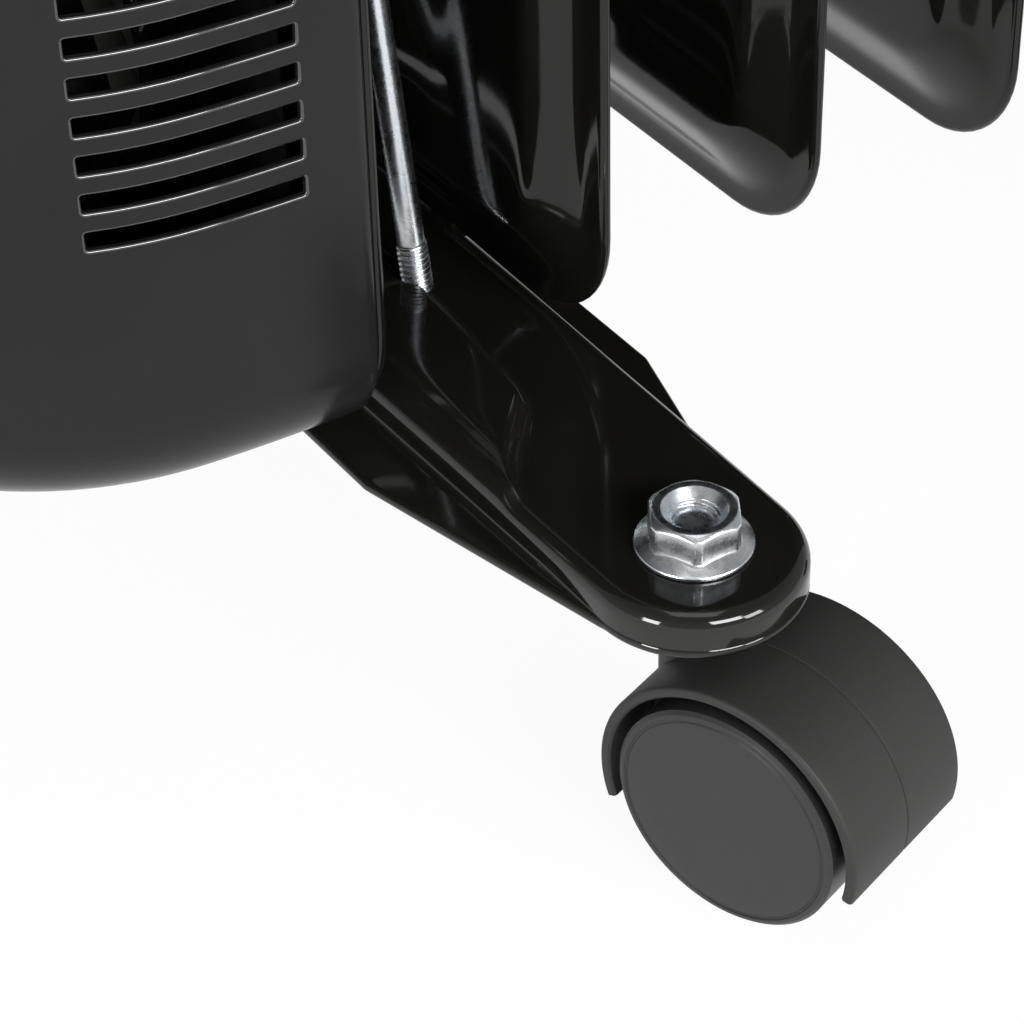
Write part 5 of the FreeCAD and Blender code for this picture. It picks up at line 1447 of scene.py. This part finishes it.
# ---- casters ----------------------------------------------------------------
def hood_skin(size):
    """Hood, web, boss and stem socket, its stem on Z and its axle along Y."""
    outer, wall, half, edge = size.hood, size.hood_wall, size.hood_half, size.hood_edge
    inner = outer - wall
    section = [(half - edge, outer)]
    section += [(half - edge + edge * sin(a), outer - edge + edge * cos(a)) for a in np.linspace(0, pi / 2, 7)[1:]]
    section += [(half, inner + 0.35 * MM), (half - 0.35 * MM, inner)]
    section += [(-w, r) for w, r in section[::-1]]
    line = [(-0.30 * MM, outer), (-0.14 * MM, outer - 0.03 * MM), (-0.05 * MM, outer - 0.16 * MM),
            (0.05 * MM, outer - 0.16 * MM), (0.14 * MM, outer - 0.03 * MM), (0.30 * MM, outer)]
    spread = [(w, outer) for w in np.linspace(edge - half, -0.8 * MM, 8)[1:]]
    section += spread + line + [(-w, r) for w, r in spread[::-1]]
    section = np.array(section)
    skin = Skin()
    start, stop, step = -size.outer_drop, pi + size.inner_drop, 0.012
    turns = np.concatenate([[start], np.linspace(start + step, stop - step, 96), [stop]])
    rows = []
    for k, turn in enumerate(turns):
        shrink = 0.28 * MM if k in (0, len(turns) - 1) else 0.0
        w = section[:, 0] - np.sign(section[:, 0]) * shrink * (np.abs(section[:, 0]) > half - edge)
        r = np.where(section[:, 1] > outer - wall / 2, section[:, 1] - shrink, section[:, 1] + shrink)
        rows.append(np.stack([size.trail + r * cos(turn), w, size.wheel + r * sin(turn)], -1))
    skin.grid(np.array(rows), wrap=True)
    skin.cap(rows[0])
    skin.cap(rows[-1])
    web = [(size.trail + (inner + 0.4 * MM) * cos(a), size.wheel + (inner + 0.4 * MM) * sin(a))
           for a in np.linspace(start, stop, 60)]
    web += [(size.trail + side * WEB_HALF_FOOT, size.wheel - WEB_DROP) for side in (-1, 1)]
    front = [(x, -size.web, z) for x, z in web]
    back = [(x, size.web, z) for x, z in web]
    skin.cap(front)
    skin.cap(back)
    skin.grid(np.array([front, back]), wrap=True)
    boss_top = CEILING_JOINT_Z - 0.3 * MM
    profile = [(0.0, boss_top), (size.boss - 0.5 * MM, boss_top), (size.boss, boss_top - 0.5 * MM),
               (size.boss, BOSS_FLOOR + 0.7 * MM), (size.boss - 1 * MM, BOSS_FLOOR), (0.0, BOSS_FLOOR)]
    skin.grid(lathe_points(profile, 48), wrap=True)
    hub = [(size.axle, -size.boss), (size.hub, -size.boss), (size.hub, size.boss), (size.axle, size.boss)]
    hub = moved_points(lathe_points(hub, 40), axis_matrix((size.trail, 0, size.wheel), (0, 1, 0)))
    skin.grid(hub, wrap=True)
    return skin


def wheel_skin(size, side):
    """A wheel on one side, closed towards the outside."""
    wheel, face, groove = size.wheel, size.face, size.groove
    inner = size.boss + 0.3 * MM
    rim = wheel - 2.4 * MM
    web = face - 2.6 * MM
    profile = [(size.axle + 0.05 * MM, inner), (size.hub, inner), (size.hub, web), (rim, web), (rim, inner),
               (wheel - 0.5 * MM, inner), (wheel, inner + 0.5 * MM), (wheel, face - size.bevel - 0.9 * MM),
               (wheel, face - size.bevel - 0.1 * MM), (wheel - size.bevel, face - 0.12 * MM),
               (wheel - size.bevel - 0.5 * MM, face), (groove + 0.42 * MM, face),
               (groove + 0.2 * MM, face - 0.28 * MM),
               (groove - 0.05 * MM, face - 0.28 * MM), (groove - 0.3 * MM, face - 0.05 * MM),
               (groove * 0.75, face - 0.02 * MM), (groove * 0.4, face), (0.6 * MM, face), (0.0, face)]
    radii = [0, 0.2 * MM, 0.5 * MM, 0.5 * MM, 0.2 * MM, 0.2 * MM, 0.2 * MM, 0, 0.25 * MM, 0.25 * MM, 0.15 * MM,
             0.1 * MM, 0.1 * MM, 0.1 * MM, 0.1 * MM, 0, 0, 0]
    profile = rounded_profile(profile, radii, 3)
    place = axis_matrix((size.trail, 0, size.wheel), (0, side, 0))
    return wrapped(moved_points(lathe_points(profile, 120), place))


def axle_skin(size):
    """Axle with chamfered ends."""
    half, radius = size.axle_half, size.axle
    profile = [(0, -half), (radius - 0.4 * MM, -half), (radius, 0.4 * MM - half), (radius, half - 0.4 * MM),
               (radius - 0.4 * MM, half), (0, half)]
    place = axis_matrix((size.trail, 0, size.wheel), (0, 1, 0))
    return wrapped(moved_points(lathe_points(profile, 32), place))


class RADIATOR_OT_casters(bpy.types.Operator):
    """Makes the four twin-wheel casters"""
    bl_idname = "radiator.casters"
    bl_label = "Casters"

    def execute(self, context):
        size = settings().caster
        parts = (("hood", hood_skin(size), 30), ("axle", axle_skin(size), 30),
                 ("fore_wheel", wheel_skin(size, -1), 40), ("aft_wheel", wheel_skin(size, 1), 40))
        for end, y in (("front", FRONT_Y), ("rear", REAR_Y)):
            for hand, side in (("right", 1), ("left", -1)):
                flip = Matrix.Diagonal((side, 1, 1, 1))
                place = flip @ Matrix.Translation((STEM_X, y, 0)) @ Matrix.Rotation(size.swivel, 4, "Z")
                for kind, part, sharp in parts:
                    node = "%s_%s_%s" % (end, hand, kind)
                    settle(part.placed(place).object(node + "_moulding", SLOTS[node], sharp=sharp), node)
        return {"FINISHED"}


# ---- controls and small fittings --------------------------------------------
def knob_skin(size, skirt, grip, high):
    """Ribbed knob on a skirt, its back on the origin, with a pointer ridge towards Y."""
    steps = size.ribs * 12
    around = np.linspace(0, 2 * pi, steps, endpoint=False)
    rib = (0.5 - 0.5 * np.cos(size.ribs * around)) ** 2
    ridge = np.exp(-((around - pi / 2) * grip / (1.1 * MM)) ** 4)
    rows = [(0.0, 0.0, 0), (skirt - 0.3 * MM, 0.0, 0), (skirt, 0.3 * MM, 0), (skirt, 1.4 * MM, 0),
            (skirt - 0.3 * MM, 1.9 * MM, 0), (grip + 1.8 * MM, size.skirt - 0.1 * MM, 0),
            (grip + 0.7 * MM, size.skirt + 0.3 * MM, 0.1), (grip + 0.15 * MM, size.skirt + 1.1 * MM, 0.6),
            (grip, size.skirt + 2.0 * MM, 1), (grip - 0.25 * MM, high - 2.2 * MM, 1),
            (grip - 0.6 * MM, high - 1.0 * MM, 0.7), (grip - 1.2 * MM, high - 0.3 * MM, 0.2),
            (grip - 2.0 * MM, high, 0), (grip - 2.6 * MM, high - 0.1 * MM, 0),
            (grip - 3.4 * MM, high - 0.5 * MM, 0), (grip * 0.4, high - 0.7 * MM, 0), (0.0, high - 0.75 * MM, 0)]
    points = []
    for radius, z, share_of_rib in rows:
        turned = radius - size.rib_depth * rib * share_of_rib * (1 - ridge)
        turned = turned + ridge * size.ridge * (1 if share_of_rib > 0.15 else 0)
        points.append(np.stack([turned * np.cos(around), turned * np.sin(around), np.full(steps, z)], -1))
    return wrapped(points)


def block_skin(wide, deep, high):
    """A bar on the origin with sloped sides, for a mark on the panel."""
    low = [(-wide, -deep, 0), (wide, -deep, 0), (wide, deep, 0), (-wide, deep, 0)]
    top = [(x * 0.86, y - 0.12 * MM * np.sign(y), high) for x, y, _ in low]
    skin = wrapped([low, top])
    skin.cap(top)
    skin.cap(low)
    return skin


def around_knob(node, radius, marks, sweep):
    """Places of marks round a knob on the panel's face, evenly over a sweep."""
    low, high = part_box(node)
    middle = Vector(((low.x + high.x) / 2, PANEL_LOW.y, low.z + (high.x - low.x) / 2))
    places = []
    for k in range(marks):
        turn = sweep / 2 - sweep * k / (marks - 1)
        out = Vector((sin(turn), 0, cos(turn)))
        upright = Matrix((Vector((cos(turn), 0, -sin(turn))), out, Vector((0, -1, 0)))).transposed().to_4x4()
        places.append(Matrix.Translation(middle + out * radius) @ upright)
    return places


class RADIATOR_OT_controls(bpy.types.Operator):
    """Moulds the panel with its dial marks, and the knobs"""
    bl_idname = "radiator.controls"
    bl_label = "Panel and knobs"

    def execute(self, context):
        size = settings().controls
        for node, skirt, grip, sweep in (
                ("thermostat_knob", size.thermostat_skirt, size.thermostat_grip, size.thermostat_sweep),
                ("selector_knob", size.selector_skirt, size.selector_grip, size.selector_sweep)):
            low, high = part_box(node)
            centre = Vector((0, high.y, low.z + skirt))
            turn = Matrix(((1, 0, 0), (0, 0, -1), (0, 1, 0))).to_4x4()
            place = Matrix.Translation(centre) @ turn @ Matrix.Rotation(sweep / 2, 4, "Z")
            tall = high.y - low.y
            knob = knob_skin(size, skirt, grip, tall).placed(place)
            bar = block_skin(0.6 * MM, grip * 0.2, 0.5 * MM)
            bar = bar.placed(place @ Matrix.Translation((0, grip * 0.6, tall - 0.9 * MM)))
            parts = [knob.object(node + "_ribbed", SLOTS[node], sharp=50),
                     bar.object(node + "_pointer", "dial_print")]
            settle(joined(parts, node + "_with_pointer"), node)
        mark = block_skin(0.32 * MM, 1.5 * MM, 0.3 * MM).object("dial_mark", "dial_print")
        places = around_knob("thermostat_knob", size.thermostat_skirt + MARK_GAP, size.thermostat_marks,
                             size.thermostat_sweep)
        places += around_knob("selector_knob", size.selector_skirt + MARK_GAP, size.selector_marks,
                              size.selector_sweep)
        marks = repeated(mark, places, "dial_marks", "dial_print")
        plate = softened("control_panel", size.panel_rounding, 4)
        settle(joined([plate, marks], "control_panel_moulding"), "control_panel")
        return {"FINISHED"}


def plain_mesh(node):
    """The mesh of a plain node to work on, its doubles merged."""
    work = bmesh.new()
    work.from_mesh(frame["nodes"][node].data)
    bmesh.ops.remove_doubles(work, verts=work.verts, dist=JOIN)
    return work


def softened(node, width, segments):
    """A copy of a plain node with its edges rounded."""
    work = plain_mesh(node)
    bmesh.ops.dissolve_limit(work, angle_limit=radians(0.5), verts=work.verts, edges=work.edges)
    limit = radians(ROUNDED_ABOVE)
    edges = [edge for edge in work.edges if len(edge.link_faces) == 2 and edge.calc_face_angle(0.0) > limit]
    bmesh.ops.bevel(work, geom=edges, offset=width, offset_type="OFFSET", segments=segments, profile=0.5,
                    affect="EDGES", clamp_overlap=True)
    bmesh.ops.triangulate(work, faces=[face for face in work.faces if len(face.verts) > 4])
    finish_edges(work, 40)
    mesh = bpy.data.meshes.new(node + "_rounded")
    work.to_mesh(mesh)
    work.free()
    mesh.materials.append(finish(OWN_FINISH.get(node, SLOTS[node])))
    return in_scene(node + "_rounded", mesh)


def island_boxes(node):
    """Lowest and highest corners of each separate solid of a node."""
    work = plain_mesh(node)
    left = set(work.verts)
    boxes = []
    while left:
        found = [left.pop()]
        for vert in found:
            near = [edge.other_vert(vert) for edge in vert.link_edges]
            fresh = [other for other in near if other in left]
            left.difference_update(fresh)
            found += list(dict.fromkeys(fresh))
        points = np.array([vert.co for vert in found])
        boxes.append((Vector(points.min(0)), Vector(points.max(0))))
    work.free()
    return sorted(boxes, key=lambda box: tuple(box[0]))


def screw_skin(radius, long):
    """Pan-head screw with a cross recess, its seat on the origin and its head along Z."""
    around = np.linspace(0, 2 * pi, 64, endpoint=False)
    ring = np.stack([np.cos(around), np.sin(around)], -1)
    points = []

    def row(size, z):
        points.append(np.concatenate([ring * size, np.broadcast_to(z, around.shape)[:, None]], 1))

    row(0.0, -long)
    row(SCREW_SHANK - 0.4 * MM, -long)
    row(SCREW_SHANK, 0.4 * MM - long)
    row(SCREW_SHANK, 0.0)
    row(radius - 0.15 * MM, 0.0)
    row(radius, 0.15 * MM)
    for size in np.linspace(1.0, 0.02, 22):
        dome = SCREW_HEAD * (0.35 + 0.65 * np.sqrt(max(0.0, 1 - size ** 3)))
        x, y = np.abs(ring[:, 0] * size * radius), np.abs(ring[:, 1] * size * radius)
        narrow, wide = np.minimum(x, y), np.maximum(x, y)
        arm = np.clip((RECESS_ARM - narrow) / (0.25 * MM), 0, 1) * np.clip((RECESS_REACH - wide) / (0.4 * MM), 0, 1)
        row(radius * size, dome - arm * SCREW_HEAD * RECESS_DEPTH)
    row(0.0, SCREW_HEAD * 0.45)
    return wrapped(points)


class RADIATOR_OT_fittings(bpy.types.Operator):
    """Rounds the handle, the plugs and the other small fittings, and sinks the screws' recesses"""
    bl_idname = "radiator.fittings"
    bl_label = "Small fittings"

    def execute(self, context):
        for node, width in ROUNDINGS.items():
            settle(softened(node, width * MM, 3), node)
        middle = (HOUSING_LOW.z + HOUSING_HIGH.z) / 2
        for node in ("shell_screws", "handle_screws"):
            places = []
            for low, high in island_boxes(node):
                centre = (low + high) / 2
                radius = (high.x - low.x) / 2
                up = node == "shell_screws" and centre.z > middle
                seat = high.z - SCREW_HEAD if up else low.z + SCREW_HEAD
                place = Matrix.Translation((centre.x, centre.y, seat))
                places.append(place if up else place @ Matrix.Rotation(pi, 4, "X"))
            long = (high.z - low.z) - SCREW_HEAD
            screw = screw_skin(radius, long).object(node + "_one", SLOTS[node], sharp=30)
            settle(repeated(screw, places, node + "_cross_head", SLOTS[node]), node)
        return {"FINISHED"}


# ---- stage ------------------------------------------------------------------
def floor_material():
    """White floor that keeps a soft shadow."""
    material, board = new_material("studio_floor")
    seen = board.node("ShaderNodeLightPath", "Is Camera Ray")
    bounced = seen.outlet("Is Glossy Ray") + seen.outlet("Is Transmission Ray")
    shown = seen * FLOOR_SEEN + bounced * FLOOR_REFLECTED
    paper = board.node("ShaderNodeBsdfDiffuse", Color=(0.86, 0.86, 0.86, 1.0))
    glow = board.node("ShaderNodeEmission", Color=(1.0, 1.0, 1.0, 1.0), Strength=1.0)
    mix = board.node("ShaderNodeMixShader", 0, None, _0=shown, _1=paper, _2=glow)
    return close_material(material, board, mix)


def studio_world():
    """Pale round the horizon, dim overhead."""
    world = bpy.data.worlds.new("studio")
    bpy.context.scene.world = world
    world.use_nodes = True
    world.node_tree.nodes.clear()
    board = Board(world.node_tree)
    up = board.node("ShaderNodeSeparateXYZ", 2, None, _0=board.node("ShaderNodeTexCoord", "Generated"))
    stops = [(height, (grey, grey, blue, 1)) for height, grey, blue in SKY]
    ramp = board.node("ShaderNodeValToRGB", 0, {"stops": stops}, Fac=up)
    glow = board.node("ShaderNodeBackground", Color=ramp, Strength=1.0)
    board.node("ShaderNodeOutputWorld", Surface=glow)


def softbox(name, middle, azimuth, elevation, wide, high, radiance):
    """A rectangular lamp that faces a point, its place and its size given in degrees as seen from there."""
    across = Vector((sin(radians(azimuth)), -cos(radians(azimuth)), 0)) * cos(radians(elevation))
    place = middle + (across + Vector((0, 0, sin(radians(elevation))))) * LAMP_DISTANCE
    lamp = bpy.data.lights.new(name, "AREA")
    lamp.shape = "RECTANGLE"
    lamp.size = 2 * LAMP_DISTANCE * tan(radians(wide / 2))
    lamp.size_y = 2 * LAMP_DISTANCE * tan(radians(high / 2))
    lamp.energy = radiance * pi * lamp.size * lamp.size_y
    thing = in_scene(name, lamp)
    thing.location = place
    thing.rotation_euler = (middle - place).to_track_quat("-Z", "Y").to_euler()


class RADIATOR_OT_stage(bpy.types.Operator):
    """Sets the floor, the lights and the camera"""
    bl_idname = "radiator.stage"
    bl_label = "Stage"

    def execute(self, context):
        size = settings().stage
        bpy.context.scene.view_settings.view_transform = "Standard"
        half = size.floor
        skin = Skin()
        skin.grid([[(-half, -half, 0), (half, -half, 0)], [(-half, half, 0), (half, half, 0)]])
        skin.object("studio_floor", "floor")
        studio_world()
        middle = Vector((STEM_X, FRONT_Y, FOOT_TOP))
        for name, *measures in LAMPS:
            softbox(name, middle, *measures)
        camera = bpy.data.cameras.new("camera")
        camera.lens = size.lens
        camera.sensor_width = 36.0
        camera.clip_start = 0.01
        camera.clip_end = 100.0
        thing = in_scene("camera", camera)
        aim = Vector(size.target) + Vector((0, FRONT_Y, 0))
        back = Vector((sin(size.azimuth) * cos(size.elevation), -cos(size.azimuth) * cos(size.elevation),
                       sin(size.elevation)))
        right = Vector((0, 0, 1)).cross(back).normalized()
        up = back.cross(right)
        turned_right = cos(size.roll) * right + sin(size.roll) * up
        turned_up = cos(size.roll) * up - sin(size.roll) * right
        turn = Matrix((turned_right, turned_up, back)).transposed().to_4x4()
        thing.matrix_world = Matrix.Translation(aim + back * size.distance) @ turn
        bpy.context.scene.camera = thing
        return {"FINISHED"}


class RADIATOR_OT_inner_parts(bpy.types.Operator):
    """Gives every other part its finish"""
    bl_idname = "radiator.inner_parts"
    bl_label = "Other parts"

    def execute(self, context):
        for node, slot in SLOTS.items():
            mesh = frame["nodes"][node].data
            mesh.materials.clear()
            mesh.materials.append(finish(slot))
        return {"FINISHED"}


class RADIATOR_PT_panel(bpy.types.Panel):
    """Lists the radiator's parts"""
    bl_label = "Radiator"
    bl_idname = "RADIATOR_PT_panel"
    bl_space_type = "VIEW_3D"
    bl_region_type = "UI"
    bl_category = "Radiator"

    def draw(self, context):
        for operator in OPERATORS:
            self.layout.operator(operator.bl_idname)


GROUPS = (SectionSizes, HousingSizes, FootSizes, BoltSizes, CasterSizes, ControlSizes, Finishes, StageSizes,
          RadiatorSettings)
OPERATORS = (RADIATOR_OT_stage, RADIATOR_OT_inner_parts, RADIATOR_OT_sections, RADIATOR_OT_housing,
             RADIATOR_OT_feet, RADIATOR_OT_u_bolts, RADIATOR_OT_caster_stems, RADIATOR_OT_caster_nuts,
             RADIATOR_OT_casters, RADIATOR_OT_controls, RADIATOR_OT_fittings)


def register():
    """Registers every class and hangs the settings on the scene."""
    for part in GROUPS + OPERATORS + (RADIATOR_PT_panel,):
        bpy.utils.register_class(part)
    bpy.types.Scene.radiator = bpy.props.PointerProperty(type=RadiatorSettings)


def unregister():
    """Takes everything away again."""
    del bpy.types.Scene.radiator
    for part in reversed(GROUPS + OPERATORS + (RADIATOR_PT_panel,)):
        bpy.utils.unregister_class(part)


def main():
    """Builds the radiator and its stage."""
    register()
    for operator in OPERATORS:
        group, name = operator.bl_idname.split(".")
        getattr(getattr(bpy.ops, group), name)()


if __name__ == "__main__":
    main()
